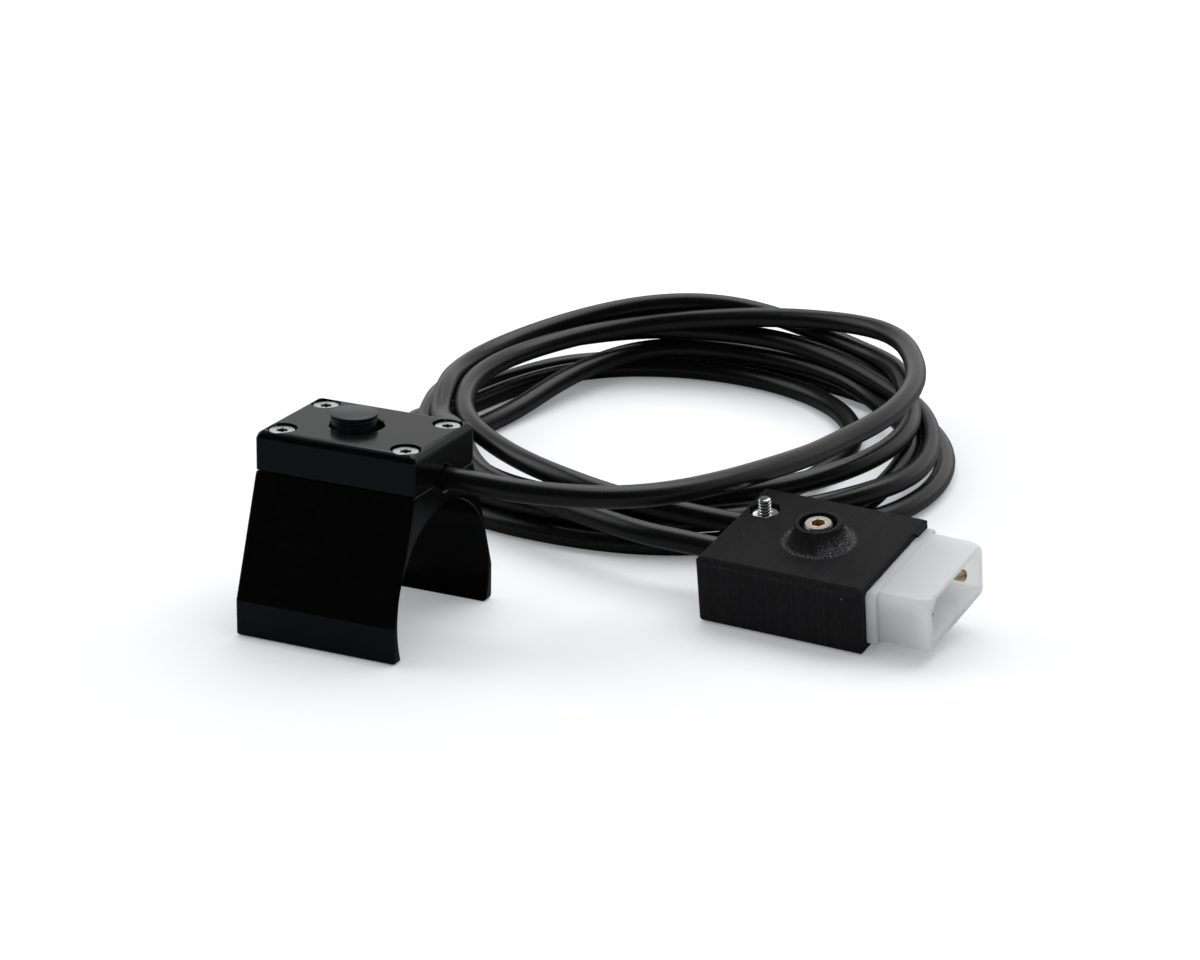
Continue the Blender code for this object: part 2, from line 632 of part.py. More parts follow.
def make_button(cap_material, stem_material):
    """The push cap with its grooved side, and the switch stem that it is pressed on."""
    groove = CAP_DISC_RADIUS - CAP_GROOVE_DEPTH
    level = CAP_PROUD
    top = [(0.0, level), (CAP_DISC_RADIUS - CAP_EDGE_ROUND, level), (CAP_DISC_RADIUS, level - CAP_EDGE_ROUND)]
    level -= CAP_DISC_THICKNESS
    side = [(CAP_DISC_RADIUS, level)]
    side += [(groove, level - CAP_GROOVE_WIDTH / 2), (groove, level - CAP_GROOVE_WIDTH)]
    level -= CAP_GROOVE_WIDTH * 1.5
    side += [(CAP_DISC_RADIUS, level), (CAP_DISC_RADIUS, level - CAP_RING_WIDTH)]
    level -= CAP_RING_WIDTH
    side += [(groove, level - CAP_GROOVE_WIDTH / 2), (groove, level - CAP_GROOVE_WIDTH)]
    level -= CAP_GROOVE_WIDTH * 1.5
    skirt_bottom = CAP_BOTTOM - HOUSING_TOP
    side += [(CAP_SKIRT_RADIUS - CAP_EDGE_ROUND, level), (CAP_SKIRT_RADIUS, level - CAP_EDGE_ROUND),
             (CAP_SKIRT_RADIUS, skirt_bottom)]
    socket_radius = STEM_RADIUS + CLEARANCE
    socket_top = skirt_bottom + CAP_SOCKET_DEPTH
    under = [(socket_radius, skirt_bottom), (socket_radius, socket_top), (0.0, socket_top)]
    cap = add_object("button_cap", turned(top + side + under, CAP_STEPS), cap_material,
                     location=(BUTTON_X, 0, HOUSING_TOP))
    stem_top = HOUSING_TOP + socket_top - CLEARANCE - STEM_BOTTOM
    stem_profile = [
        (0.0, 0.0), (STEM_FLANGE_RADIUS, 0.0), (STEM_FLANGE_RADIUS, STEM_FLANGE_THICKNESS),
        (STEM_RADIUS, STEM_FLANGE_THICKNESS), (STEM_RADIUS, stem_top), (0.0, stem_top),
    ]
    stem = add_object("switch_stem", turned(stem_profile, MEDIUM_STEPS), stem_material,
                      location=(BUTTON_X, 0, STEM_BOTTOM))
    return cap, stem


def make_switch(board_material, case_material, dome_material, cover_material):
    """The tactile switch under the cap: board, bored case, snap dome and cover plate."""
    board = round_corners(rectangle(BOARD_BACK, BOARD_FRONT, -BOARD_WIDTH / 2, BOARD_WIDTH / 2),
                          BOARD_CORNER_ROUND)
    add_object("circuit_board", extrude_outline(board, BOARD_FLOOR, BOARD_TOP), board_material)
    half = CASE_SIDE / 2
    square = round_corners(rectangle(-half, half, -half, half), CASE_CORNER_ROUND)
    case = add_object("switch_case", extrude_outline(square, CASE_BOTTOM, CASE_TOP), case_material,
                      location=(BUTTON_X, 0, 0))
    floor = CASE_BOTTOM + CASE_FLOOR
    bore = [(0.0, floor), (CASE_BORE_RADIUS, floor), (CASE_BORE_RADIUS, CASE_TOP + CUT_OVERRUN),
            (0.0, CASE_TOP + CUT_OVERRUN)]
    cut(case, "case_bore_cutter", turned(bore, MEDIUM_STEPS), location=(BUTTON_X, 0, 0))
    cover = add_object("switch_cover", extrude_outline(square, COVER_BOTTOM, COVER_TOP), cover_material,
                       location=(BUTTON_X, 0, 0))
    window = STEM_RADIUS + CLEARANCE
    opening = [(0.0, COVER_BOTTOM - CLEARANCE / 2), (window, COVER_BOTTOM - CLEARANCE / 2),
               (window, COVER_TOP + CUT_OVERRUN), (0.0, COVER_TOP + CUT_OVERRUN)]
    cut(cover, "cover_hole_cutter", turned(opening, MEDIUM_STEPS), location=(BUTTON_X, 0, 0))
    shares = [step / DOME_STEPS for step in range(DOME_STEPS + 1)]
    under = [(DOME_RADIUS * share, DOME_RISE * (1 - share ** 2)) for share in shares]
    over = [(radius, height + DOME_THICKNESS) for radius, height in reversed(under)]
    add_object("contact_dome", turned(under + over, MEDIUM_STEPS), dome_material,
               location=(BUTTON_X, 0, DOME_BOTTOM))


def make_switch_end_of_cable(cable_material, ring_material, core_materials):
    """The crimped ring on the cable inside the housing, and the two cores from it to the board."""
    start, end = stop_ring_span()
    inner = CABLE_RADIUS + CLEARANCE
    outer = stop_ring_radius()
    profile = [(inner, start), (outer, start), (outer, end), (inner, end)]
    add_object("cable_stop_ring", turned(profile, RING_STEPS, "X", closed=True), ring_material,
               location=(0, CABLE_Y, CABLE_Z))
    jacket_end = HALF_LENGTH - CABLE_REACH_INSIDE
    pad_x = BOARD_FRONT - CORE_PAD_INSET
    pad_z = BOARD_TOP + CLEARANCE + CORE_RADIUS
    for index, side in enumerate((-1, 1)):
        first = (jacket_end - CLEARANCE, CABLE_Y + side * CORE_SPACING / 2, CABLE_Z)
        last = (pad_x, CABLE_Y + side * CORE_PAD_SPACING / 2, pad_z)
        middle = tuple((a + b) / 2 for a, b in zip(first, last))
        add_tube(f"switch_core_{index + 1}", [first, middle, last], CORE_RADIUS, CORE_SPACING_ALONG,
                 core_materials[index])
    lead = [(jacket_end, CABLE_Y, CABLE_Z), (HALF_LENGTH, CABLE_Y, CABLE_Z)] + LEAD_ROUTE
    add_tube("cable_lead", lead, CABLE_RADIUS, ROUTE_SPACING, cable_material)


def make_coil(material):
    """The outer shape of the coiled cable: a ring with rounded edges, lying on the floor."""
    section = round_corners(rectangle(COIL_INNER_RADIUS, COIL_OUTER_RADIUS, 0.0, COIL_HEIGHT), COIL_EDGE_ROUND)
    add_object("cable_coil", turned(section, FINE_STEPS, closed=True), material, location=(COIL_X, COIL_Y, 0))


def make_plug_frame():
    """An empty at the foot of the shell's cable end, tilted and turned as the shell lies."""
    frame = bpy.data.objects.new("plug_frame", None)
    bpy.context.collection.objects.link(frame)
    frame.location = (SHELL_X, SHELL_Y, SHELL_Z)
    frame.rotation_euler = (SHELL_TILT, 0.0, SHELL_TURN)
    return frame


def make_shell(frame, material):
    """The printed shell: a sleeve open at one end, with a flared boss and two screw columns."""
    shell = add_object("plug_shell", block((0.0, -SHELL_HALF_WIDTH, 0.0),
                                           (SHELL_LENGTH, SHELL_HALF_WIDTH, SHELL_HEIGHT)), material, frame)

    def weight(a, b):
        along = abs(a.x - b.x) > SHELL_LENGTH / 2
        if along and min(a.z, b.z) > SHELL_HEIGHT - CLEARANCE:
            return 1.0
        return SHELL_SMALL_EDGE / SHELL_CHAMFER

    bevel_edges(shell, SHELL_CHAMFER, 1, weight)
    boss_top = SHELL_HEIGHT + BOSS_HEIGHT
    flare = BOSS_BASE_RADIUS - BOSS_TOP_RADIUS
    root = SHELL_HEIGHT - SHELL_FLOOR_WALL / 2
    boss = [(0.0, root), (BOSS_BASE_RADIUS, root), (BOSS_BASE_RADIUS, SHELL_HEIGHT)]
    boss += [(BOSS_BASE_RADIUS - flare * inward, SHELL_HEIGHT + BOSS_HEIGHT * upward)
             for inward, upward in BOSS_FLARE_SHARES]
    boss += [(BOSS_TOP_RADIUS, boss_top), (0.0, boss_top)]
    cut(shell, "boss_former", turned(boss, CAP_STEPS), "UNION", location=(BOSS_X, BOSS_Y, 0))
    half_room = PLUG_BODY_WIDTH / 2 + CLEARANCE
    room_low = SHELL_FLOOR_WALL
    room_high = SHELL_HEIGHT - SHELL_FLOOR_WALL
    cut(shell, "shell_room_cutter", block((SHELL_CABLE_BLOCK, -half_room, room_low),
                                          (SHELL_LENGTH + CUT_OVERRUN, half_room, room_high)))
    inside = SHELL_FLOOR_WALL / 2
    column = [(0.0, inside), (BOSS_COLUMN_RADIUS, inside), (BOSS_COLUMN_RADIUS, SHELL_HEIGHT - inside),
              (0.0, SHELL_HEIGHT - inside)]
    cut(shell, "column_former", turned(column, MEDIUM_STEPS), "UNION", location=(BOSS_X, BOSS_Y, 0))
    head_floor = boss_top - CAP_SCREW_HEAD_DEPTH - CAP_SCREW_HEAD_HEIGHT - CLEARANCE
    shank = CAP_SCREW_RADIUS + CLEARANCE
    screw_hole = [(0.0, -CUT_OVERRUN), (shank, -CUT_OVERRUN), (shank, head_floor),
                  (BOSS_BORE_RADIUS, head_floor), (BOSS_BORE_RADIUS, boss_top + CUT_OVERRUN),
                  (0.0, boss_top + CUT_OVERRUN)]
    nut_top = CAP_NUT_DEPTH + CAP_NUT_HEIGHT + CLEARANCE
    cut(shell, "cap_nut_cutter", extrude_outline(hexagon(CAP_NUT_FLATS + 2 * CLEARANCE), -CUT_OVERRUN, nut_top),
        location=(BOSS_X, BOSS_Y, 0))
    cut(shell, "cap_screw_cutter", turned(screw_hole, CAP_HOLE_STEPS), location=(BOSS_X, BOSS_Y, 0))
    weld(shell)
    cable_hole = [(0.0, -CUT_OVERRUN), (CABLE_HOLE_RADIUS, -CUT_OVERRUN),
                  (CABLE_HOLE_RADIUS, SHELL_CABLE_BLOCK + CUT_OVERRUN), (0.0, SHELL_CABLE_BLOCK + CUT_OVERRUN)]
    cut(shell, "shell_cable_cutter", turned(cable_hole, RING_STEPS, "X"), location=(0, 0, SHELL_CABLE_Z))
    clamp_hole = CLAMP_SCREW_RADIUS + CLEARANCE
    nut_floor = SHELL_HEIGHT + CLAMP_NUT_PROUD - CLAMP_NUT_HEIGHT - CLEARANCE
    hole = [(0.0, -CUT_OVERRUN), (clamp_hole, -CUT_OVERRUN), (clamp_hole, SHELL_HEIGHT + CUT_OVERRUN),
            (0.0, SHELL_HEIGHT + CUT_OVERRUN)]
    cut(shell, "clamp_screw_cutter", turned(hole, SMALL_STEPS), location=(CLAMP_X, CLAMP_Y, 0))
    cut(shell, "clamp_nut_cutter", extrude_outline(hexagon(CLAMP_NUT_FLATS + 2 * CLEARANCE), nut_floor,
                                                   SHELL_HEIGHT + CUT_OVERRUN),
        location=(CLAMP_X, CLAMP_Y, 0))
    ear_low = PLUG_MIDDLE_HEIGHT + FLANGE_HEIGHT / 2 + CLEARANCE
    ear = round_corners([(SHELL_LENGTH - JOIN_OVERLAP, MOUTH_EAR_START),
                         (SHELL_LENGTH + MOUTH_EAR_LENGTH, MOUTH_EAR_START),
                         (SHELL_LENGTH + MOUTH_EAR_LENGTH, MOUTH_EAR_END - MOUTH_EAR_LENGTH),
                         (SHELL_LENGTH - JOIN_OVERLAP, MOUTH_EAR_END)], MOUTH_EAR_ROUND)
    cut(shell, "mouth_ear_former", extrude_outline(ear, ear_low, SHELL_HEIGHT - SHELL_SMALL_EDGE / 2), "UNION")
    return shell


def make_socket_screw(name, head_radius, head_height, edge, shank_radius, length, flats, depth, material,
                      parent, location, flip=False):
    """A socket-head screw: its underside of head at height 0, its shank pointing down."""
    profile = [
        (0.0, -length), (shank_radius - edge, -length), (shank_radius, -length + edge), (shank_radius, 0.0),
        (head_radius, 0.0), (head_radius, head_height - edge), (head_radius - edge, head_height),
        (0.0, head_height),
    ]
    socket = extrude_outline(hexagon(flats), head_height - depth, head_height + CUT_OVERRUN)
    body = turned(profile, RING_STEPS)
    if flip:
        for shape in (body, socket):
            bmesh.ops.rotate(shape, verts=shape.verts, cent=(0, 0, 0),
                             matrix=Matrix.Rotation(math.pi, 3, "X"))
    screw = add_object(name, body, material, parent, location)
    cut(screw, f"{name}_socket_cutter", socket, location=location)
    return screw


def make_nut(name, flats, height, hole_radius, edge, material, parent, location):
    """A hexagon nut: a turned blank with chamfered rims, cut down to six flats and bored."""
    corner = flats / math.sqrt(3)
    blank = [(0.0, 0.0), (corner - edge, 0.0), (corner, edge), (corner, height - edge),
             (corner - edge, height), (0.0, height)]
    nut = add_object(name, turned(blank, CAP_STEPS), material, parent, location)
    modifier_body = extrude_outline(hexagon(flats), -CUT_OVERRUN, height + CUT_OVERRUN)
    cut(nut, f"{name}_flats_former", modifier_body, "INTERSECT", location=location)
    bore = [(0.0, -CUT_OVERRUN), (hole_radius, -CUT_OVERRUN), (hole_radius, height + CUT_OVERRUN),
            (0.0, height + CUT_OVERRUN)]
    cut(nut, f"{name}_bore_cutter", turned(bore, SMALL_STEPS), location=location)
    return nut


def make_shell_fasteners(frame, steel, zinc):
    """The cap screw and nut of the boss, and the clamp screw with its washer and nut."""
    seat = SHELL_HEIGHT + BOSS_HEIGHT - CAP_SCREW_HEAD_DEPTH - CAP_SCREW_HEAD_HEIGHT
    make_socket_screw("cap_screw", CAP_SCREW_HEAD_RADIUS, CAP_SCREW_HEAD_HEIGHT, CAP_SCREW_HEAD_EDGE,
                      CAP_SCREW_RADIUS, CAP_SCREW_LENGTH, CAP_SCREW_SOCKET_FLATS, CAP_SCREW_SOCKET_DEPTH,
                      steel, frame, (BOSS_X, BOSS_Y, seat))
    make_nut("cap_screw_nut", CAP_NUT_FLATS, CAP_NUT_HEIGHT, CAP_SCREW_RADIUS + CLEARANCE, CAP_NUT_EDGE,
             steel, frame, (BOSS_X, BOSS_Y, CAP_NUT_DEPTH))
    washer_top = -CLEARANCE
    washer_bottom = washer_top - CLAMP_WASHER_THICKNESS
    head_face = washer_bottom - CLEARANCE
    length = SHELL_HEIGHT + CLAMP_STUD_PROUD - head_face
    make_socket_screw("clamp_screw", CLAMP_HEAD_RADIUS, CLAMP_HEAD_HEIGHT, CLAMP_STUD_EDGE,
                      CLAMP_SCREW_RADIUS, length, CLAMP_SOCKET_FLATS, CLAMP_SOCKET_DEPTH,
                      zinc, frame, (CLAMP_X, CLAMP_Y, head_face), flip=True)
    hole = CLAMP_SCREW_RADIUS + CLEARANCE
    washer = [(hole, washer_bottom), (CLAMP_WASHER_RADIUS, washer_bottom), (CLAMP_WASHER_RADIUS, washer_top),
              (hole, washer_top)]
    add_object("clamp_washer", turned(washer, RING_STEPS, closed=True), zinc, frame, (CLAMP_X, CLAMP_Y, 0))
    make_nut("clamp_nut", CLAMP_NUT_FLATS, CLAMP_NUT_HEIGHT, hole, CLAMP_NUT_EDGE, zinc, frame,
             (CLAMP_X, CLAMP_Y, SHELL_HEIGHT + CLAMP_NUT_PROUD - CLAMP_NUT_HEIGHT))


def loft(sections):
    """Return a solid through (x, outline) sections, whose outlines of (y, z) points are equally long."""
    bm = bmesh.new()
    rings = [[bm.verts.new((x, a, b)) for a, b in outline] for x, outline in sections]
    count = len(rings[0])
    for ring, following in zip(rings, rings[1:]):
        for index in range(count):
            after = (index + 1) % count
            bm.faces.new((ring[index], ring[after], following[after], following[index]))
    bm.faces.new(rings[0])
    bm.faces.new(rings[-1])
    bmesh.ops.triangulate(bm, faces=bm.faces)
    return bm


def shroud_outline(width, bottom, top, top_round, bottom_round):
    """A rectangle across the plug with one radius on its top corners and one on its bottom corners."""
    half = width / 2
    steps = ROUND_STEPS + 1
    corners = [(half - bottom_round, bottom + bottom_round, bottom_round, -math.pi / 2),
               (half - top_round, top - top_round, top_round, 0.0),
               (-half + top_round, top - top_round, top_round, math.pi / 2),
               (-half + bottom_round, bottom + bottom_round, bottom_round, math.pi)]
    outline = []
    for y, z, radius, first in corners:
        for step in range(steps):
            angle = first + math.pi / 2 * step / (steps - 1)
            outline.append((y + radius * math.cos(angle), z + radius * math.sin(angle)))
    return outline


def keyed_outline(width, bottom, top, key, small):
    """A rectangle across the plug with two long chamfers at its top, and small ones at its foot."""
    half = width / 2
    return [
        (-half + small, bottom), (half - small, bottom), (half, bottom + small), (half, top - key),
        (half - key, top), (-half + key, top), (-half, top - key), (-half, bottom + small),
    ]


def contact_places():
    """Return the contacts' places across the plug, at one pitch and centred."""
    return [(index - (CONTACT_COUNT - 1) / 2) * CONTACT_PITCH for index in range(CONTACT_COUNT)]


def make_plug(frame, material):
    """The nylon plug: a rear body, a flange and an open shroud with two keyed corners."""
    low = PLUG_MIDDLE_HEIGHT - SHROUD_HEIGHT / 2
    high = PLUG_MIDDLE_HEIGHT + SHROUD_HEIGHT / 2
    rounds = ((SHROUD_LENGTH, SHROUD_EDGE_ROUND, SHROUD_EDGE_ROUND),) + SHROUD_MOUTH_ROUNDS
    sections = [(SHROUD_END - inward, shroud_outline(SHROUD_WIDTH, low, high, top_round, bottom_round))
                for inward, top_round, bottom_round in rounds]
    plug = add_object("plug_housing", loft(sections), material, frame)
    flange_low = PLUG_MIDDLE_HEIGHT - FLANGE_HEIGHT / 2
    flange = round_corners(rectangle(-FLANGE_WIDTH / 2, FLANGE_WIDTH / 2, flange_low, flange_low + FLANGE_HEIGHT),
                           FLANGE_CORNER_ROUND)
    cut(plug, "flange_former", extrude_outline(flange, FLANGE_START, SHROUD_START + JOIN_OVERLAP, "X"), "UNION")
    body_low = SHELL_HEIGHT / 2 - PLUG_BODY_HEIGHT / 2
    body = round_corners(rectangle(-PLUG_BODY_WIDTH / 2, PLUG_BODY_WIDTH / 2, body_low,
                                   body_low + PLUG_BODY_HEIGHT), SHROUD_EDGE_ROUND)
    cut(plug, "rear_body_former",
        extrude_outline(body, PLUG_BODY_START, FLANGE_START + JOIN_OVERLAP, "X"), "UNION")
    inner = keyed_outline(SHROUD_WIDTH - 2 * SHROUD_WALL, low + SHROUD_WALL, high - SHROUD_TOP_WALL,
                          SHROUD_INNER_KEY, SHROUD_EDGE_ROUND)
    cut(plug, "shroud_room_cutter", extrude_outline(inner, SHROUD_END - SHROUD_CAVITY_DEPTH,
                                                    SHROUD_END + CUT_OVERRUN, "X"))
    hole = PIN_RADIUS + CLEARANCE
    bore = [(0.0, PLUG_BODY_START - CUT_OVERRUN), (hole, PLUG_BODY_START - CUT_OVERRUN),
            (hole, SHROUD_END - SHROUD_CAVITY_DEPTH + CUT_OVERRUN),
            (0.0, SHROUD_END - SHROUD_CAVITY_DEPTH + CUT_OVERRUN)]
    for index, y in enumerate(contact_places(), 1):
        cut(plug, f"contact_hole_cutter_{index}", turned(bore, SMALL_STEPS, "X"),
            location=(0, y, PLUG_MIDDLE_HEIGHT))
    return plug


def make_contacts(frame, pin_material, core_materials):
    """The two outer pins, each a rolled barrel with a slit tip, and the cores crimped in them."""
    tip = SHROUD_END - PIN_RECESS
    bore_end = tip - PIN_TIP_BORE_DEPTH
    neck_start = PLUG_BODY_START - CLEARANCE
    crimp_end = neck_start - PIN_NECK_LENGTH
    arc = PIN_TIP_ROUND * ARC_MIDDLE
    profile = [
        (0.0, PIN_CRIMP_START), (PIN_CRIMP_RADIUS, PIN_CRIMP_START), (PIN_CRIMP_RADIUS, crimp_end),
        (PIN_NECK_RADIUS, crimp_end + PIN_NECK_STEP), (PIN_NECK_RADIUS, neck_start),
        (PIN_RADIUS, neck_start + PIN_NECK_STEP), (PIN_RADIUS, tip - PIN_TIP_ROUND),
        (PIN_RADIUS - arc, tip - arc), (PIN_RADIUS - PIN_TIP_ROUND, tip),
        (PIN_TIP_BORE_RADIUS, tip), (PIN_TIP_BORE_RADIUS, bore_end), (0.0, bore_end),
    ]
    places = contact_places()
    for index, y in enumerate((places[0], places[-1])):
        pin = add_object(f"contact_pin_{index + 1}", turned(profile, SMALL_STEPS, "X"), pin_material, frame,
                         (0, y, PLUG_MIDDLE_HEIGHT))
        slit = block((bore_end, -PIN_SLIT_WIDTH / 2, 0.0),
                     (tip + CUT_OVERRUN, PIN_SLIT_WIDTH / 2, PIN_RADIUS + CUT_OVERRUN))
        cut(pin, f"pin_slit_cutter_{index + 1}", slit, location=(0, y, PLUG_MIDDLE_HEIGHT))
        side = math.copysign(1, y)
        start = (SHELL_CABLE_REACH + CLEARANCE, side * CORE_SPACING / 2, SHELL_CABLE_Z)
        end = (PIN_CRIMP_START - CLEARANCE, y, PLUG_MIDDLE_HEIGHT)
        route = [start]
        for shares in PLUG_CORE_SWEEP:
            route.append(tuple(a + (b - a) * share for a, b, share in zip(start, end, shares)))
        route.append(end)
        add_tube(f"plug_core_{index + 1}", route, CORE_RADIUS, CORE_SPACING_ALONG, core_materials[index],
                 frame)


def make_cable_tail(material):
    """The cable from beside the coil into the shell's end block."""
    turn = Matrix.Rotation(SHELL_TURN, 3, "Z") @ Matrix.Rotation(SHELL_TILT, 3, "X")
    foot = Vector((SHELL_X, SHELL_Y, SHELL_Z))
    inside = [foot + turn @ Vector((x, 0.0, SHELL_CABLE_Z)) for x in (0.0, SHELL_CABLE_REACH)]
    inside = [tuple(point) for point in inside]
    add_tube("cable_tail", TAIL_ROUTE + inside, CABLE_RADIUS, ROUTE_SPACING, material)


def main():
    """Build every piece."""
    clear_scene()
    black_anodised = make_material("black_anodised", (0.012, 0.012, 0.013), 0.28, 0.6)
    cap_plastic = make_material("cap_plastic", (0.018, 0.022, 0.030), 0.45)
    stainless = make_material("stainless", (0.62, 0.61, 0.58), 0.25, 1.0)
    zinc = make_material("zinc", (0.66, 0.66, 0.64), 0.32, 1.0)
    case_plastic = make_material("case_plastic", (0.03, 0.03, 0.03), 0.5)
    stem_plastic = make_material("stem_plastic", (0.55, 0.53, 0.48), 0.5)
    board_green = make_material("board_green", (0.02, 0.12, 0.05), 0.4)
    dome_steel = make_material("dome_steel", (0.7, 0.68, 0.6), 0.3, 1.0)
    cable_black = make_material("cable_black", (0.015, 0.015, 0.016), 0.5)
    printed_black = make_material("printed_black", (0.016, 0.016, 0.018), 0.55)
    nylon = make_material("nylon", (0.78, 0.80, 0.80), 0.35)
    brass = make_material("brass", (0.62, 0.48, 0.25), 0.3, 1.0)
    core_red = make_material("core_red", (0.45, 0.03, 0.02), 0.5)
    core_black = make_material("core_black", (0.02, 0.02, 0.02), 0.5)

    make_saddle(black_anodised)
    make_housing(black_anodised)
    make_housing_screws(stainless)
    make_button(cap_plastic, stem_plastic)
    make_switch(board_green, case_plastic, dome_steel, stainless)
    make_switch_end_of_cable(cable_black, stainless, (core_black, core_red))
    make_coil(cable_black)
    make_cable_tail(cable_black)
    frame = make_plug_frame()
    make_shell(frame, printed_black)
    make_shell_fasteners(frame, stainless, zinc)
    make_plug(frame, nylon)
    make_contacts(frame, brass, (core_black, core_red))


main()
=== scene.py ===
# %% [markdown]
# # A push-button switch on a saddle, with its coiled cable
# The object is a small switch that clamps over a round body, about 2 m of cable lying in a loose coil,
# and a printed shell round a white two-pin plug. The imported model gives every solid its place. This
# script gives each one the surface that the real one has, and lays the real cable where the packed
# model only holds a ring.

import json
import math

import bmesh
import bpy
import numpy as np
from mathutils import Matrix


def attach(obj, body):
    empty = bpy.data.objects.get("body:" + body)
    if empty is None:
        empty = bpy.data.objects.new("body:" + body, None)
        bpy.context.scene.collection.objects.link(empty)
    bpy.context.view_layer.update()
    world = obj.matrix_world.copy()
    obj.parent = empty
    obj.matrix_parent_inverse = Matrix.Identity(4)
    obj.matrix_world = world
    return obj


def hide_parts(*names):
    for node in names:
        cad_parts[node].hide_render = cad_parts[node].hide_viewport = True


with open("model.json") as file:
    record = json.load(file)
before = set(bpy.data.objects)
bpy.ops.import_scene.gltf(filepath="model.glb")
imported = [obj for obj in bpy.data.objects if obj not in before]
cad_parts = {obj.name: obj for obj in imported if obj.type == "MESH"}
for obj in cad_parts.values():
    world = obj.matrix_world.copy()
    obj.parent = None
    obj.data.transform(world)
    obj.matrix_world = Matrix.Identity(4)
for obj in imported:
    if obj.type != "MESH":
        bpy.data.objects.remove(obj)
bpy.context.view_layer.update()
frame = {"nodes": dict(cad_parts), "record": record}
nodes = frame["nodes"]

# %% [markdown]
# ## Camera
# A long lens looks down at the switch from the left of its front. Its place could be found by eye, but
# the straight edges of the saddle and the housing fix it much better: four of their directions and
# lengths give the turn, the tilt, the small roll and the focal length together.

# %% Camera
CAMERA_PLACE = np.array([0.30486, -0.55604, 0.24930])
CAMERA_AZIMUTH = math.radians(24.82)
CAMERA_ELEVATION = math.radians(19.30)
CAMERA_ROLL = math.radians(1.05)
CAMERA_LENS = 109.0
SENSOR_WIDTH = 36.0
NEAREST_SEEN = 0.01


def camera_axes(azimuth, elevation, roll):
    """Right, up and back of a camera: back points from the object to the lens, and roll turns the other
    two about it."""
    back = np.array([math.sin(azimuth) * math.cos(elevation), -math.cos(azimuth) * math.cos(elevation),
                     math.sin(elevation)])
    level = np.array([math.cos(azimuth), math.sin(azimuth), 0.0])
    upright = np.cross(back, level)
    right = math.cos(roll) * level + math.sin(roll) * upright
    up = math.cos(roll) * upright - math.sin(roll) * level
    return right, up, back


def add_object(name, data):
    """A new object in the scene, at its origin."""
    thing = bpy.data.objects.new(name, data)
    bpy.context.scene.collection.objects.link(thing)
    return thing


def stand(thing, right, up, back, place):
    """Place a camera or a lamp by its three axes and its position."""
    rows = np.stack([right, up, back, place], axis=1).tolist()
    thing.matrix_world = Matrix([*rows, [0.0, 0.0, 0.0, 1.0]])


lens = bpy.data.cameras.new("studio_camera")
lens.lens = CAMERA_LENS
lens.sensor_width = SENSOR_WIDTH
lens.sensor_fit = "HORIZONTAL"
lens.clip_start = NEAREST_SEEN
camera = add_object("studio_camera", lens)
stand(camera, *camera_axes(CAMERA_AZIMUTH, CAMERA_ELEVATION, CAMERA_ROLL), CAMERA_PLACE)
bpy.context.scene.camera = camera
print("camera at", np.round(CAMERA_PLACE, 3), "lens", CAMERA_LENS, "mm")

# %% [markdown]
# ## Meshes from grids
# Most pieces here are turned, drawn or swept, so one grid of points describes each of them: a row for
# each step along the piece, and a column for each step round it. Numpy works out the whole grid at
# once, and one helper turns it into a mesh. Merging its doubled points closes the poles and the seam.


# %% Grid helpers
def grid_faces(rows, columns, closed):
    """Four-sided faces between neighbouring points of a grid numbered row by row. Where it is closed,
    each row's last point joins its first. The second array holds the faces' places on the UV map."""
    i = np.arange(rows - 1)[:, None]
    j = np.arange(columns if closed else columns - 1)[None, :]
    after_j = (j + 1) % columns
    corners = [i * columns + j, i * columns + after_j, (i + 1) * columns + after_j, (i + 1) * columns + j]
    steps = [(i, j), (i, j + 1), (i + 1, j + 1), (i + 1, j)]
    quads = np.stack(np.broadcast_arrays(*corners), axis=-1).reshape(-1, 4)
    places = [np.stack(np.broadcast_arrays(a / rows, b / columns), axis=-1) for a, b in steps]
    return quads, np.stack(places, axis=-2).reshape(-1, 2)


def grid_piece(name, grid, closed=True, sharp=35.0):
    """A piece from a (rows, columns, 3) array of points. Its UV map runs from 0 to 1 along each way of
    the grid. Doubled points are merged, faces are turned outwards, and edges sharper than the given
    angle stay crisp."""
    rows, columns = grid.shape[:2]
    quads, places = grid_faces(rows, columns, closed)
    mesh = bpy.data.meshes.new(name)
    mesh.from_pydata(grid.reshape(-1, 3).tolist(), [], quads.tolist())
    layer = mesh.uv_layers.new(name="UVMap")
    layer.data.foreach_set("uv", places.astype(np.float32).ravel())
    bm = bmesh.new()
    bm.from_mesh(mesh)
    bmesh.ops.remove_doubles(bm, verts=bm.verts, dist=1e-7)
    bmesh.ops.dissolve_degenerate(bm, edges=bm.edges, dist=1e-8)
    bmesh.ops.recalc_face_normals(bm, faces=bm.faces)
    bm.to_mesh(mesh)
    bm.free()
    mesh.shade_smooth()
    mesh.set_sharp_from_angle(angle=math.radians(sharp))
    return add_object(name, mesh)


def full_turn(sides):
    """The angles, in radians, of the points round a ring."""
    return 2 * np.pi * np.arange(sides) / sides


print("grid helpers ready")

# %% [markdown]
# ## The cable's route
# The cable leaves the switch level, bends back to the coil, goes round it nearly six times and comes out
# on top of it at the plug's end. A perfect helix would look like a spring. This route is a list of places
# round the coil, each with its angle, its distance from the coil's middle and its height, chosen so
# that the loops cross and lean as loose loops do. A smooth curve joins them.

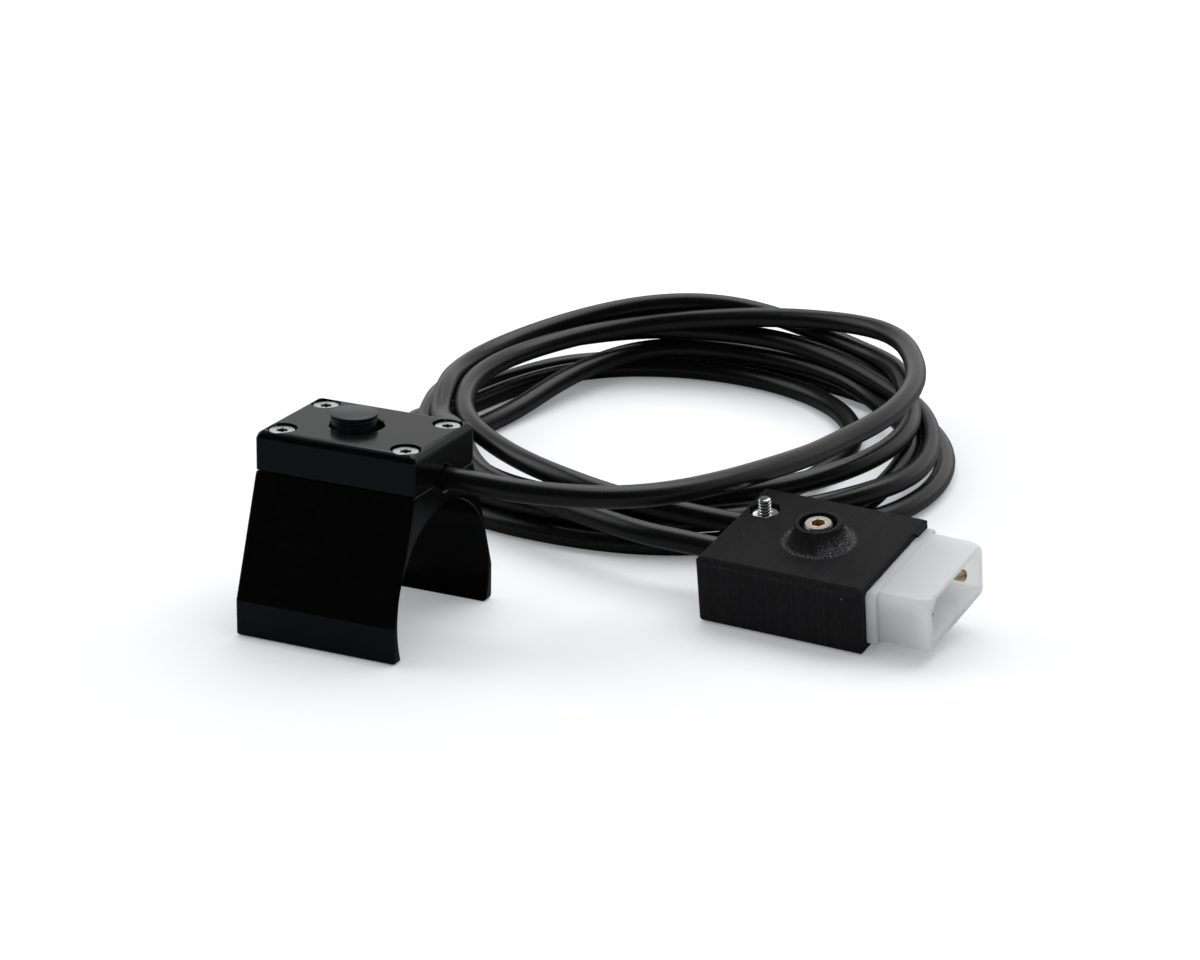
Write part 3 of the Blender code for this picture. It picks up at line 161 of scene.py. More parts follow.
# %% Route points
CABLE_DIAMETER = 0.0044
COIL_CENTRE = np.array([0.0110, 0.1100, 0.0])
LEAD_POINTS = np.array([
    (0.0095, 0.0006, 0.02985), (0.0165, 0.0006, 0.02985), (0.0235, 0.0005, 0.0298),
    (0.0305, 0.0018, 0.0293), (0.0385, 0.0062, 0.0283), (0.0455, 0.0132, 0.0270),
    (0.0515, 0.0235, 0.0257), (0.0560, 0.0370, 0.0243), (0.0595, 0.0530, 0.0228),
    (0.0620, 0.0690, 0.0214),
])
# degrees, millimetres from the coil's middle, millimetres above the floor
COIL_POINTS = np.array([
    # first turn, on top: down from the back to the left, then outwards at the near side
    (-24.5, 57.8, 20.6), (0, 53.4, 20.4), (30, 53.2, 20.2), (55, 56.3, 19.8), (75, 54.0, 18.2),
    (100, 53.0, 15.6), (120, 52.4, 13.2), (145, 47.5, 12.0), (170, 43.6, 12.0), (200, 42.0, 12.0),
    (225, 42.7, 12.0), (250, 46.0, 12.0), (270, 52.5, 12.0), (285, 58.0, 10.8),
    # second turn, down to the floor and round the outside, then inwards at the near side
    (305, 61.0, 7.5), (330, 62.0, 3.5), (360, 60.5, 2.3), (390, 59.5, 2.3), (420, 59.2, 2.3),
    (450, 60.0, 2.3), (480, 60.0, 2.3), (495, 60.0, 2.3), (510, 55.6, 2.3), (525, 54.4, 2.3),
    (540, 53.5, 2.3), (560, 52.5, 2.3), (580, 51.5, 2.3), (600, 52.0, 2.3), (625, 53.2, 2.3),
    (645, 51.5, 3.0), (665, 46.5, 4.6),
    # third turn, small on the right, on the floor at the back, over the second at the left
    (685, 40.5, 4.4), (710, 37.0, 2.6), (730, 37.2, 2.3), (750, 40.5, 2.3), (775, 46.0, 2.3),
    (800, 51.0, 2.3), (825, 54.5, 2.3), (843, 55.5, 2.3), (861, 53.0, 2.3), (875, 50.2, 2.3),
    (895, 48.5, 2.4), (912, 49.5, 4.8), (926, 52.8, 6.7), (941, 56.5, 4.6), (956, 57.6, 2.3),
    (990, 58.8, 2.3), (1020, 60.0, 2.3), (1050, 57.5, 3.4),
    # fourth turn, over the others at the back and far inwards at the left
    (1080, 54.0, 6.2), (1110, 52.5, 6.7), (1140, 53.5, 6.7), (1170, 55.5, 6.7), (1192, 56.5, 6.7),
    (1203, 52.5, 6.4), (1215, 46.8, 5.4), (1229, 41.8, 4.4), (1242, 39.0, 3.0), (1256, 38.6, 2.3),
    (1272, 40.8, 2.3), (1292, 46.2, 3.6), (1320, 52.8, 6.2), (1350, 57.0, 6.6), (1380, 58.5, 6.7),
    (1410, 58.0, 6.8),
    # fifth turn, over the fourth, high at the back and at the near side
    (1440, 57.4, 6.8), (1470, 55.0, 8.2), (1500, 53.5, 10.5), (1530, 54.5, 11.6), (1560, 57.0, 10.4),
    (1580, 56.4, 9.4), (1598, 53.2, 8.6), (1615, 50.6, 8.2), (1640, 49.2, 8.6), (1665, 51.2, 8.8),
    (1700, 52.8, 7.6), (1730, 54.0, 9.6), (1755, 53.2, 10.2), (1780, 52.2, 10.8),
    # last turn, on top at the back and out to the plug
    (1800, 51.8, 10.8), (1830, 52.8, 10.9), (1855, 55.4, 11.8), (1875, 56.9, 14.0), (1895, 56.4, 16.9),
    (1915, 55.2, 17.2), (1935, 53.4, 14.8), (1955, 50.8, 12.8), (1980, 47.8, 12.2), (2005, 46.4, 12.2),
    (2030, 49.6, 10.6), (2050, 54.5, 9.8), (2066, 59.5, 9.9),
])
TAIL_POINTS = np.array([
    (0.0277, 0.0436, 0.0100), (0.0379, 0.0408, 0.0099), (0.0480, 0.0406, 0.0096),
    (0.0572, 0.0402, 0.00942), (0.0656, 0.0396, 0.00942),
])
TURN_STEPS = 4
ROUTE_STEPS = 8
ROUTE_SPACING = 0.0030


def smooth_curve(points, steps):
    """A Catmull-Rom curve through the points: each span starts and ends along the line between its
    neighbours, and is a cubic of t, which runs from 0 to 1 in the given number of steps."""
    padded = np.vstack([2 * points[0] - points[1], points, 2 * points[-1] - points[-2]])
    p0, p1, p2, p3 = (padded[k:len(padded) - 3 + k, None, :] for k in range(4))
    t = (np.arange(steps) / steps)[None, :, None]
    spans = 0.5 * (2 * p1 + (p2 - p0) * t + (2 * p0 - 5 * p1 + 4 * p2 - p3) * t ** 2
                   + (3 * p1 - p0 - 3 * p2 + p3) * t ** 3)
    return np.vstack([spans.reshape(-1, points.shape[1]), points[-1:]])


def length_along(path):
    """The distance from the start to each point of a path."""
    return np.concatenate([[0.0], np.cumsum(np.linalg.norm(np.diff(path, axis=0), axis=1))])


def even_path(path, spacing):
    """The same path with its points one spacing apart."""
    along = length_along(path)
    wanted = np.linspace(0.0, along[-1], int(round(along[-1] / spacing)) + 1)
    return np.stack([np.interp(wanted, along, path[:, k]) for k in range(3)], axis=1)


degrees, reach_mm, height_mm = smooth_curve(COIL_POINTS, TURN_STEPS).T
angle = np.radians(degrees)
loops_mm = np.stack([reach_mm * np.cos(angle), reach_mm * np.sin(angle), height_mm], axis=1)
loops = COIL_CENTRE + 0.001 * loops_mm
route = even_path(smooth_curve(np.vstack([LEAD_POINTS, loops, TAIL_POINTS]), ROUTE_STEPS), ROUTE_SPACING)
print("route points:", len(route), "length m:", round(float(length_along(route)[-1]), 3))

# %% [markdown]
# ## Settling the coil
# Loops that are only listed run into each other here and there. A physics simulation of two
# metres of cable would be slow and would lose the photographed shape. Instead, wherever two stretches
# lie closer than one diameter, each is pushed half of the way out, the push is spread along the cable
# so that it still bends evenly, and nothing may sink into the floor.

# %% Settle the coil
SETTLE_GAP = CABLE_DIAMETER * 1.01
SETTLE_ROUNDS = 160
PUSH_SHARE = 0.25
PUSH_SPREADS = 3
RIPPLE_SHARE = 0.15
LEAD_HELD_TO = 0.080
TAIL_POINTS_HELD = 12


def far_along(path, diameter):
    """Whether each two points of a path are so far apart along it that they can only meet by crossing."""
    along = length_along(path)
    return np.abs(along[:, None] - along[None, :]) > 6 * diameter


def settle(path, diameter, rounds, held_start, held_end):
    """Points of a path pushed apart until stretches of it that pass each other are one diameter apart.
    The first and last stretches, in points, are held where they are."""
    free = np.ones((len(path), 1))
    free[:held_start] = 0.0
    free[len(path) - held_end:] = 0.0
    apart = far_along(path, diameter)
    for _ in range(rounds):
        offset = path[:, None, :] - path[None, :, :]
        gap = np.linalg.norm(offset, axis=2) + 1e-9
        close = (gap < diameter) & apart
        push = (np.where(close, (diameter - gap) / gap, 0.0)[:, :, None] * offset * PUSH_SHARE).sum(axis=1)
        push /= np.sqrt(np.maximum(close.sum(axis=1), 1))[:, None]
        for _ in range(PUSH_SPREADS):
            push[1:-1] = 0.25 * push[:-2] + 0.5 * push[1:-1] + 0.25 * push[2:]
        path = path + push * free
        bend = np.zeros_like(path)
        bend[1:-1] = (path[:-2] + path[2:]) / 2 - path[1:-1]
        ripple = np.zeros_like(path)
        ripple[1:-1] = (bend[:-2] + bend[2:]) / 2 - bend[1:-1]
        path = path - RIPPLE_SHARE * ripple * free
        path[:, 2] = np.maximum(path[:, 2], diameter / 2)
    return path


lead_count = int(np.argmax(route[:, 1] > LEAD_HELD_TO))
settled = settle(route, SETTLE_GAP, SETTLE_ROUNDS, lead_count, TAIL_POINTS_HELD)
gaps = np.linalg.norm(settled[:, None] - settled[None], axis=2)[far_along(settled, CABLE_DIAMETER)]
print("closest stretches, mm:", round(float(gaps.min()) * 1000, 2), "highest loop, mm:",
      round(float(settled[lead_count:, 2].max() * 1000), 1))

# %% [markdown]
# ## Sweeping the cable
# The tube is a circle carried along the route. A frame that is worked out afresh at each point would
# flip where the route turns over, so each circle starts from the direction of the one before, made
# square to the route again.

# %% Sweep the cable
CABLE_SPACING = 0.0024
CABLE_SIDES = 18
END_RIM = 0.92
END_BULGE = 0.06


def sweep(path, radius, sides):
    """A grid of circles along a path. Each circle's first direction is the last one's, less its part
    along the path. The end circles close to a point, with a small rounded edge."""
    ahead = np.gradient(path, axis=0)
    ahead /= np.linalg.norm(ahead, axis=1)[:, None]
    first = np.zeros_like(path)
    side = np.cross(ahead[0], [0.0, 0.0, 1.0])
    for k, direction in enumerate(ahead):
        side = side - direction * np.dot(side, direction)
        side /= np.linalg.norm(side)
        first[k] = side
    second = np.cross(ahead, first)
    turn = full_turn(sides)[None, :, None]
    circles = path[:, None, :] + radius * (
        first[:, None, :] * np.cos(turn) + second[:, None, :] * np.sin(turn))
    caps = []
    for place, circle, outwards in ((path[0], circles[0], -ahead[0]), (path[-1], circles[-1], ahead[-1])):
        bulge = outwards * radius * END_BULGE
        rim = place + (circle - place) * END_RIM + bulge
        caps.append([rim, np.broadcast_to(place + bulge, circle.shape)])
    return np.concatenate([caps[0][::-1], circles, caps[1]])


cable_path = even_path(settled, CABLE_SPACING)
cable = grid_piece("cable", sweep(cable_path, CABLE_DIAMETER / 2, CABLE_SIDES))
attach(cable, "base")
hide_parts("cable_lead", "cable_coil", "cable_tail")

# %% [markdown]
# ## Building with nodes
# The floor, the world and every finish are trees of nodes. Placing each node and drawing each link on a
# line of its own would fill most of this file, so a few helpers do both at once: any input takes either
# a plain value or the output that feeds it.


# %% Node helpers
def feed(tree, target, source):
    """Give an input a value, or a link where the source is another node's output."""
    if isinstance(source, bpy.types.NodeSocket):
        tree.links.new(source, target)
    else:
        target.default_value = source


def add_node(tree, kind, *sources, **values):
    """A new node. A named value goes to the node's setting of that name, or else to its input. Sources
    without a name feed the inputs in their order."""
    node = tree.nodes.new(kind)
    for key, value in values.items():
        if hasattr(node, key):
            setattr(node, key, value)
        else:
            feed(tree, node.inputs[key.replace("_", " ")], value)
    for target, source in zip(node.inputs, sources):
        feed(tree, target, source)
    return node


def math_of(tree, operation, *sources, clamp=False):
    """The result of one sum on numbers, held between 0 and 1 where clamp is set."""
    return add_node(tree, "ShaderNodeMath", *sources, operation=operation, use_clamp=clamp).outputs[0]


def vector_of(tree, operation, *sources):
    """The result of one sum on vectors: a number where the operation measures something."""
    node = add_node(tree, "ShaderNodeVectorMath", *sources, operation=operation)
    return node.outputs["Value" if operation in ("DISTANCE", "DOT_PRODUCT", "LENGTH") else "Vector"]


def graded(tree, value, start, end, low=0.0, high=1.0):
    """A value between low and high as another value goes from start to end."""
    return add_node(tree, "ShaderNodeMapRange", Value=value, From_Min=start, From_Max=end, To_Min=low,
                    To_Max=high).outputs["Result"]


def mixed_colours(tree, share, first, second):
    """A colour between two: all of the second where the share is 1."""
    first, second = (c if isinstance(c, bpy.types.NodeSocket) else (*c, 1.0) for c in (first, second))
    node = add_node(tree, "ShaderNodeMix", data_type="RGBA", Factor=share, A=first, B=second)
    return node.outputs["Result"]


print("node helpers ready")

# %% [markdown]
# ## Floor and light
# The object stands on a plain white sweep under soft light from above and behind, which draws a bright
# line along every loop of the cable and leaves the faces towards the camera dark. The floor is a real
# diffuse surface, so it keeps the shadows. A little light of its own, seen only by the camera, lifts it
# to clean white. It grows away from the object, so that the shadows near it stay. Black faces must
# mirror a dark room and not this floor, as they do where a studio keeps the camera's side black, so
# glossy rays find it dark.

# %% Floor
FLOOR_SIZE = 8.0
FLOOR_STEPS = 9
FLOOR_LEVEL = -0.0001
PAPER = (0.80, 0.81, 0.82)
PAPER_IN_MIRRORS = (0.25, 0.25, 0.26)
GLOW_TINT = (0.97, 0.99, 1.0, 1.0)
GLOW_MIDDLE = (0.045, 0.055, FLOOR_LEVEL)
GLOW_NEAR, GLOW_NEAR_STRENGTH = 0.13, 0.19
GLOW_FAR, GLOW_FAR_STRENGTH = 0.42, 0.75


def floor_grid(size, steps, level):
    """A square flat grid about the middle of the object."""
    line = np.linspace(-size / 2, size / 2, steps)
    x, y = np.meshgrid(line, line)
    return np.stack([x, y, np.full_like(x, level)], axis=-1)


floor = grid_piece("studio_floor", floor_grid(FLOOR_SIZE, FLOOR_STEPS, FLOOR_LEVEL), closed=False)
if floor.data.polygons[0].normal.z < 0:
    floor.data.flip_normals()
floor_look = bpy.data.materials.new("studio_floor")
floor_look.use_nodes = True
tree = floor_look.node_tree
tree.nodes.clear()
rays = add_node(tree, "ShaderNodeLightPath")
paper_colour = mixed_colours(tree, rays.outputs["Is Glossy Ray"], PAPER, PAPER_IN_MIRRORS)
paper = add_node(tree, "ShaderNodeBsdfDiffuse", Color=paper_colour)
place = add_node(tree, "ShaderNodeTexCoord").outputs["Object"]
from_object = vector_of(tree, "DISTANCE", place, GLOW_MIDDLE)
growing = graded(tree, from_object, GLOW_NEAR, GLOW_FAR, GLOW_NEAR_STRENGTH, GLOW_FAR_STRENGTH)
strength = math_of(tree, "MULTIPLY", rays.outputs["Is Camera Ray"], growing)
glow = add_node(tree, "ShaderNodeEmission", Color=GLOW_TINT, Strength=strength)
lit_paper = add_node(tree, "ShaderNodeAddShader", paper.outputs[0], glow.outputs[0])
add_node(tree, "ShaderNodeOutputMaterial", Surface=lit_paper.outputs[0])
floor.data.materials.append(floor_look)
print("floor", FLOOR_SIZE, "m")

# %% [markdown]
# ## Lamps
# Two big soft lamps do the work: one overhead and behind, one from the left. Small lamps would draw
# hard spots on the cable, and the photograph shows long even lines.


# %% Lamps
def soft_lamp(name, place, aim, size, watts, colour):
    """A square area lamp at a place, turned so that its light goes towards another."""
    light = bpy.data.lights.new(name, "AREA")
    light.shape = "RECTANGLE"
    light.size, light.size_y = size
    light.energy = watts
    light.color = colour
    back = np.array(place, float) - np.array(aim, float)
    back /= np.linalg.norm(back)
    across = np.cross([0.0, 0.0, 1.0], back)
    across /= np.linalg.norm(across)
    stand(add_object(name, light), across, np.cross(back, across), back, np.array(place, float))


soft_lamp("top_softbox", (0.05, 0.55, 0.95), (0.03, 0.06, 0.0), (1.3, 1.0), 9.0, (1.0, 1.0, 1.0))
soft_lamp("left_softbox", (-0.95, -0.10, 0.62), (0.0, 0.03, 0.0), (0.8, 0.8), 3.0, (0.98, 0.99, 1.0))
print("lamps:", [light.name for light in bpy.data.lights])

# %% [markdown]
# ## World
# The world is white where the camera sees it. Mirrors and glass find it darker towards the camera's side
# of the room, and darker overhead than near the walls, as a studio is. Its light on rough surfaces is an
# even grey fill.

# %% World
FILL_TINT = (0.97, 0.99, 1.0, 1.0)
FILL_STRENGTH = 0.50
CAMERA_SIDE, CAMERA_SIDE_STRENGTH = -0.10, 0.01
FAR_SIDE, FAR_SIDE_STRENGTH = 0.60, 1.0
WALL_HEIGHT, WALL_STRENGTH = 0.20, 1.0
CEILING_HEIGHT, CEILING_STRENGTH = 0.75, 0.22
world = bpy.data.worlds.new("studio_world")
bpy.context.scene.world = world
world.use_nodes = True
tree = world.node_tree
tree.nodes.clear()
direction = add_node(tree, "ShaderNodeTexCoord").outputs["Generated"]
away = vector_of(tree, "DOT_PRODUCT", direction, (-math.sin(CAMERA_AZIMUTH), math.cos(CAMERA_AZIMUTH), 0.0))
height = add_node(tree, "ShaderNodeSeparateXYZ", Vector=direction).outputs["Z"]
behind = graded(tree, away, CAMERA_SIDE, FAR_SIDE, CAMERA_SIDE_STRENGTH, FAR_SIDE_STRENGTH)
lower = graded(tree, height, WALL_HEIGHT, CEILING_HEIGHT, WALL_STRENGTH, CEILING_STRENGTH)
room = math_of(tree, "MULTIPLY", behind, lower)
rays = add_node(tree, "ShaderNodeLightPath")
room = math_of(tree, "MAXIMUM", room, rays.outputs["Is Camera Ray"])
sky = add_node(tree, "ShaderNodeBackground", Strength=room)
fill = add_node(tree, "ShaderNodeBackground", Color=FILL_TINT, Strength=FILL_STRENGTH)
seen = math_of(tree, "MAXIMUM", rays.outputs["Is Camera Ray"], rays.outputs["Is Glossy Ray"])
seen = math_of(tree, "MAXIMUM", seen, rays.outputs["Is Transmission Ray"])
chosen = add_node(tree, "ShaderNodeMixShader", seen, fill.outputs[0], sky.outputs[0])
add_node(tree, "ShaderNodeOutputWorld", Surface=chosen.outputs[0])
bpy.context.scene.view_settings.view_transform = "Standard"
print("world nodes:", len(tree.nodes))

# %% [markdown]
# ## Shared effects
# Fine grain and stray lint show on many pieces here, and drawn lines give the board its weave. Each is a
# small node group with its own inputs, so that every finish can place it at its own scale and strength.
# Grain is two sizes of noise added together, which keeps a surface from looking like one flat colour. Lint
# is a sparse scatter of dots: the cells of a Voronoi pattern whose random number is low enough each show
# one small spot. Lines are noise pulled out long in one direction.

# %% Grain, lint and line groups
VECTOR = "NodeSocketVector"
FLOAT = "NodeSocketFloat"


def effect_group(name, inputs, outputs):
    """An empty node group with float and vector inputs and float outputs. Returns the group, the sockets
    that it is given and the ones that it has to feed."""
    group = bpy.data.node_groups.new(name, "ShaderNodeTree")
    for label, kind, value in inputs:
        socket = group.interface.new_socket(label, in_out="INPUT", socket_type=kind)
        if value is not None:
            socket.default_value = value
    for label in outputs:
        group.interface.new_socket(label, in_out="OUTPUT", socket_type=FLOAT)
    return group, group.nodes.new("NodeGroupInput").outputs, group.nodes.new("NodeGroupOutput").inputs


grain_group, given, result = effect_group(
    "Fine Grain", [("Vector", VECTOR, None), ("Coarse", FLOAT, 300.0), ("Fine", FLOAT, 3000.0)], ["Value"])
coarse = add_node(grain_group, "ShaderNodeTexNoise", Vector=given["Vector"], Scale=given["Coarse"],
                  Detail=3.0, Roughness=0.55)
fine = add_node(grain_group, "ShaderNodeTexNoise", Vector=given["Vector"], Scale=given["Fine"],
                Detail=2.0, Roughness=0.6)
total = add_node(grain_group, "ShaderNodeMix", data_type="FLOAT", Factor=0.5, A=coarse.outputs[0],
                 B=fine.outputs[0])
feed(grain_group, result["Value"], total.outputs[0])

lint_group, given, result = effect_group(
    "Stray Lint", [("Vector", VECTOR, None), ("Scale", FLOAT, 400.0), ("Share", FLOAT, 0.04)], ["Mask"])
cells = add_node(lint_group, "ShaderNodeTexVoronoi", feature="F1", Vector=given["Vector"],
                 Scale=given["Scale"], Randomness=1.0)
spot = graded(lint_group, cells.outputs["Distance"], 0.16, 0.06)
number = add_node(lint_group, "ShaderNodeSeparateColor", Color=cells.outputs["Color"]).outputs[0]
chosen = math_of(lint_group, "LESS_THAN", number, given["Share"])
feed(lint_group, result["Mask"], math_of(lint_group, "MULTIPLY", spot, chosen))

line_group, given, result = effect_group(
    "Drawn Lines", [("Vector", VECTOR, None), ("Stretch", VECTOR, (40.0, 4000.0, 4000.0))], ["Value"])
pulled = vector_of(line_group, "MULTIPLY", given["Vector"], given["Stretch"])
streak = add_node(line_group, "ShaderNodeTexNoise", Vector=pulled, Scale=1.0, Detail=3.0, Roughness=0.6)
feed(line_group, result["Value"], streak.outputs[0])
print("effect groups:", [g.name for g in bpy.data.node_groups])

# %% [markdown]
# Printed plastic is built from thin layers, each a hair wider or narrower than the next. The group
# makes them along one axis as a wave that a little noise pushes about, so that no two lines are alike.

# %% Layer group
layer_group, given, result = effect_group(
    "Printed Layers", [("Vector", VECTOR, None), ("Pitch", FLOAT, 0.0003), ("Wander", FLOAT, 0.6)],
    ["Height", "Shade"])
along_x = add_node(layer_group, "ShaderNodeSeparateXYZ", Vector=given["Vector"]).outputs["X"]
wobble = add_node(layer_group, "ShaderNodeTexNoise", Vector=given["Vector"], Scale=420.0, Detail=2.0)
count = math_of(layer_group, "ADD", math_of(layer_group, "DIVIDE", along_x, given["Pitch"]),
                math_of(layer_group, "MULTIPLY", wobble.outputs[0], given["Wander"]))
wave = math_of(layer_group, "SINE", math_of(layer_group, "MULTIPLY", count, 2 * math.pi))
per_layer = add_node(layer_group, "ShaderNodeTexWhiteNoise", noise_dimensions="1D",
                     W=math_of(layer_group, "FLOOR", count))
feed(layer_group, result["Height"], wave)
feed(layer_group, result["Shade"], per_layer.outputs["Value"])
print("layer group nodes:", len(layer_group.nodes))

# %% [markdown]
# Two more effects belong to places and not to whole surfaces: the rough ring of tiny loops where the
# boss grows out of the shell, and the line along an edge, worn paler on the shell's top edges and painted
# darker as shade on its bevel. A ring is a band of distances from an upright axis, and an edge is what lies
# near a line that runs along X.

# %% Ring and edge groups
ring_group, given, result = effect_group(
    "Ring Mask", [("Vector", VECTOR, None), ("Centre", VECTOR, (0.0, 0.0, 0.0)), ("Inner", FLOAT, 0.005),
                  ("Outer", FLOAT, 0.007), ("Soft", FLOAT, 0.0004)], ["Mask"])
offset = vector_of(ring_group, "SUBTRACT", given["Vector"], given["Centre"])
reach = vector_of(ring_group, "LENGTH", vector_of(ring_group, "MULTIPLY", offset, (1.0, 1.0, 0.0)))
inside = math_of(ring_group, "SUBTRACT", reach, given["Inner"])
outside = math_of(ring_group, "SUBTRACT", given["Outer"], reach)
shares = [math_of(ring_group, "DIVIDE", gap, given["Soft"], clamp=True) for gap in (inside, outside)]
feed(ring_group, result["Mask"], math_of(ring_group, "MULTIPLY", *shares))

edge_group, given, result = effect_group(
    "Edge Wear And Shade", [("Vector", VECTOR, None), ("Line", VECTOR, (0.0, 0.0, 0.0)), ("Width", FLOAT, 0.0002)],
    ["Mask"])
offset = vector_of(edge_group, "SUBTRACT", given["Vector"], given["Line"])
reach = vector_of(edge_group, "LENGTH", vector_of(edge_group, "MULTIPLY", offset, (0.0, 1.0, 1.0)))
near = math_of(edge_group, "SUBTRACT", 1.0, math_of(edge_group, "DIVIDE", reach, given["Width"]), clamp=True)
crumbs = add_node(edge_group, "ShaderNodeTexNoise", Vector=given["Vector"], Scale=2600.0, Detail=2.0)
feed(edge_group, result["Mask"],
     math_of(edge_group, "MULTIPLY", near, graded(edge_group, crumbs.outputs[0], 0.45, 0.70)))
print("ring group nodes:", len(ring_group.nodes), "edge group nodes:", len(edge_group.nodes))

# %% [markdown]
# ## A finish in one call
# Every finish here starts the same way: a Principled shader, a colour that the grain moves a little
# either side of its middle, a roughness that it moves too, and a fine bump. What makes each one
# different is painted over it afterwards, through a mask.

# %% Finish helper
NOISE_LOW = 0.3
NOISE_HIGH = 0.7
FINISHES = {}


def group_node(tree, group, **values):
    """Place a node group, with a value or an output for each of its inputs."""
    return add_node(tree, "ShaderNodeGroup", node_tree=group, **values)


def finish(name, dark, light, rough, grain=(300.0, 3000.0), bump=0.00001, metallic=0.0, lint=None,
           mapping=None, specular=0.5):
    """A material, kept in FINISHES: colour between dark and light and roughness between two values by
    grain, a bump of the given height in metres, and lint as (scale, share, colour) where dust settles.
    Returns its tree, its shader and its useful outputs."""
    material = FINISHES[name] = bpy.data.materials.new(name)
    material.use_nodes = True
    tree = material.node_tree
    shader = tree.nodes["Principled BSDF"]
    place = add_node(tree, "ShaderNodeTexCoord").outputs["Object"]
    if mapping is not None:
        place = add_node(tree, "ShaderNodeMapping", vector_type="TEXTURE", Vector=place,
                         Location=mapping[0], Rotation=mapping[1]).outputs["Vector"]
    speckle = group_node(tree, grain_group, Vector=place, Coarse=grain[0], Fine=grain[1]).outputs["Value"]
    colour = mixed_colours(tree, graded(tree, speckle, NOISE_LOW, NOISE_HIGH), dark, light)
    if lint is not None:
        scale, share, tint = lint
        dots = group_node(tree, lint_group, Vector=place, Scale=scale, Share=share)
        colour = mixed_colours(tree, dots.outputs["Mask"], colour, tint)
    relief = add_node(tree, "ShaderNodeBump", Strength=1.0, Distance=bump, Height=speckle).outputs["Normal"]
    feed(tree, shader.inputs["Metallic"], metallic)
    feed(tree, shader.inputs["Specular IOR Level"], specular)
    feed(tree, shader.inputs["Base Color"], colour)
    feed(tree, shader.inputs["Roughness"], graded(tree, speckle, NOISE_LOW, NOISE_HIGH, *rough))
    feed(tree, shader.inputs["Normal"], relief)
    return {"tree": tree, "shader": shader, "place": place, "colour": colour, "relief": relief}


def repaint(parts, mask, tint):
    """Cover a finish's colour with a tint where a mask is 1."""
    parts["colour"] = mixed_colours(parts["tree"], mask, parts["colour"], tint)
    feed(parts["tree"], parts["shader"].inputs["Base Color"], parts["colour"])


print("finish helper ready")

# %% [markdown]
# ## Black finishes
# The saddle and the housing are blasted, then black anodised: a satin skin with a very fine tooth that
# shows a broad soft reflection. The cap is a greyer, duller plastic. The cable's jacket is smooth and
# slightly soft, with faint long ripples.

# %% Anodised metal, cap and cable
parts = finish("black_anodised", (0.0010, 0.0010, 0.0012), (0.0026, 0.0026, 0.0030),
               (0.15, 0.22), grain=(700.0, 9000.0), bump=0.0000012,
               lint=(240.0, 0.004, (0.05, 0.05, 0.055)), specular=0.235)
feed(parts["tree"], parts["shader"].inputs["Specular Tint"], (0.90, 0.96, 1.0, 1.0))
finish("cap_plastic", (0.003, 0.004, 0.006), (0.010, 0.013, 0.019), (0.24, 0.33),
       grain=(900.0, 9000.0), bump=0.000004, lint=(900.0, 0.03, (0.09, 0.10, 0.11)),
       specular=0.30)
finish("cable_black", (0.0020, 0.0020, 0.0023), (0.0050, 0.0050, 0.0056), (0.25, 0.34),
       grain=(120.0, 2500.0), bump=0.000008, lint=(300.0, 0.008, (0.07, 0.07, 0.075)),
       specular=0.38)
print("finishes so far:", *FINISHES)

# %% [markdown]
# The shell is printed in a matt black that hardly mirrors anything. Its layers stand as fine ridges
# across it, and some came out paler. A bump gives the ridges without any geometry, which at a third of
# a millimetre would need very many faces. The shell lies tilted, so its finish works in its own frame.

# %% Printed layers
PLUG_FRAME_PLACE = (0.0573, 0.0414, 0.0027835)
PLUG_FRAME_TURN = (math.radians(10.5), 0.0, math.radians(-4.0))
PLUG_FRAME = (PLUG_FRAME_PLACE, PLUG_FRAME_TURN)
LAYER_PITCH = 0.00034
LAYER_RELIEF = 0.000035
WORN_GREY = (0.030, 0.030, 0.032)
parts = finish("printed_black", (0.0100, 0.0096, 0.0106), (0.0190, 0.0184, 0.0200),
               (0.38, 0.56), grain=(900.0, 5000.0), bump=0.000008,
               lint=(700.0, 0.045, (0.15, 0.15, 0.16)), mapping=PLUG_FRAME, specular=0.04)
tree = parts["tree"]
place = parts["place"]
layers = group_node(tree, layer_group, Vector=place, Pitch=LAYER_PITCH, Wander=0.9)
ridges = add_node(tree, "ShaderNodeBump", Strength=1.0, Distance=LAYER_RELIEF,
                  Height=layers.outputs["Height"], Normal=parts["relief"])
feed(tree, parts["shader"].inputs["Normal"], ridges.outputs["Normal"])
repaint(parts, graded(tree, layers.outputs["Shade"], 0.72, 1.0, 0.0, 0.30), WORN_GREY)
print("layers on the shell, to a millimetre:", round(0.001 / LAYER_PITCH, 1))

# %% [markdown]
# Where the round boss grows out of the flat top, the printer left tiny pale curls of thread: all round
# its foot, and further up its flank at both ends. Its crown carries a painted highlight, a pale ring where
# the rim catches the light, broken up by the same noise. The curls are bright spots of a fine noise, kept by
# masks to those places. The narrow bevel along the front edge is painted darker than the faces as shade, and
# the edges themselves are worn a little paler.

# %% Boss curls, crown highlight, bevel shade and worn edges
BOSS_PLACE = (0.0186, -0.0005, 0.0)
SHELL_SIDE = 0.0150
SHELL_TOP = 0.0135
SHELL_CHAMFER = 0.0012
FOOT_RING = {"Inner": 0.0060, "Outer": 0.0072, "Soft": 0.0005}
FLANK_RING = {"Inner": 0.0046, "Outer": 0.0074, "Soft": 0.0008}
CROWN_RING = {"Inner": 0.0040, "Outer": 0.0044, "Soft": 0.00015}
foot, flank, crown = (group_node(tree, ring_group, Vector=place, Centre=BOSS_PLACE, **ring).outputs["Mask"]
                      for ring in (FOOT_RING, FLANK_RING, CROWN_RING))
noise = add_node(tree, "ShaderNodeTexNoise", Vector=place, Scale=5600.0, Detail=1.0)
curls = graded(tree, noise.outputs[0], 0.53, 0.60)
spot = add_node(tree, "ShaderNodeSeparateXYZ", Vector=place)
mouth_end = graded(tree, spot.outputs["X"], 0.0200, 0.0222)
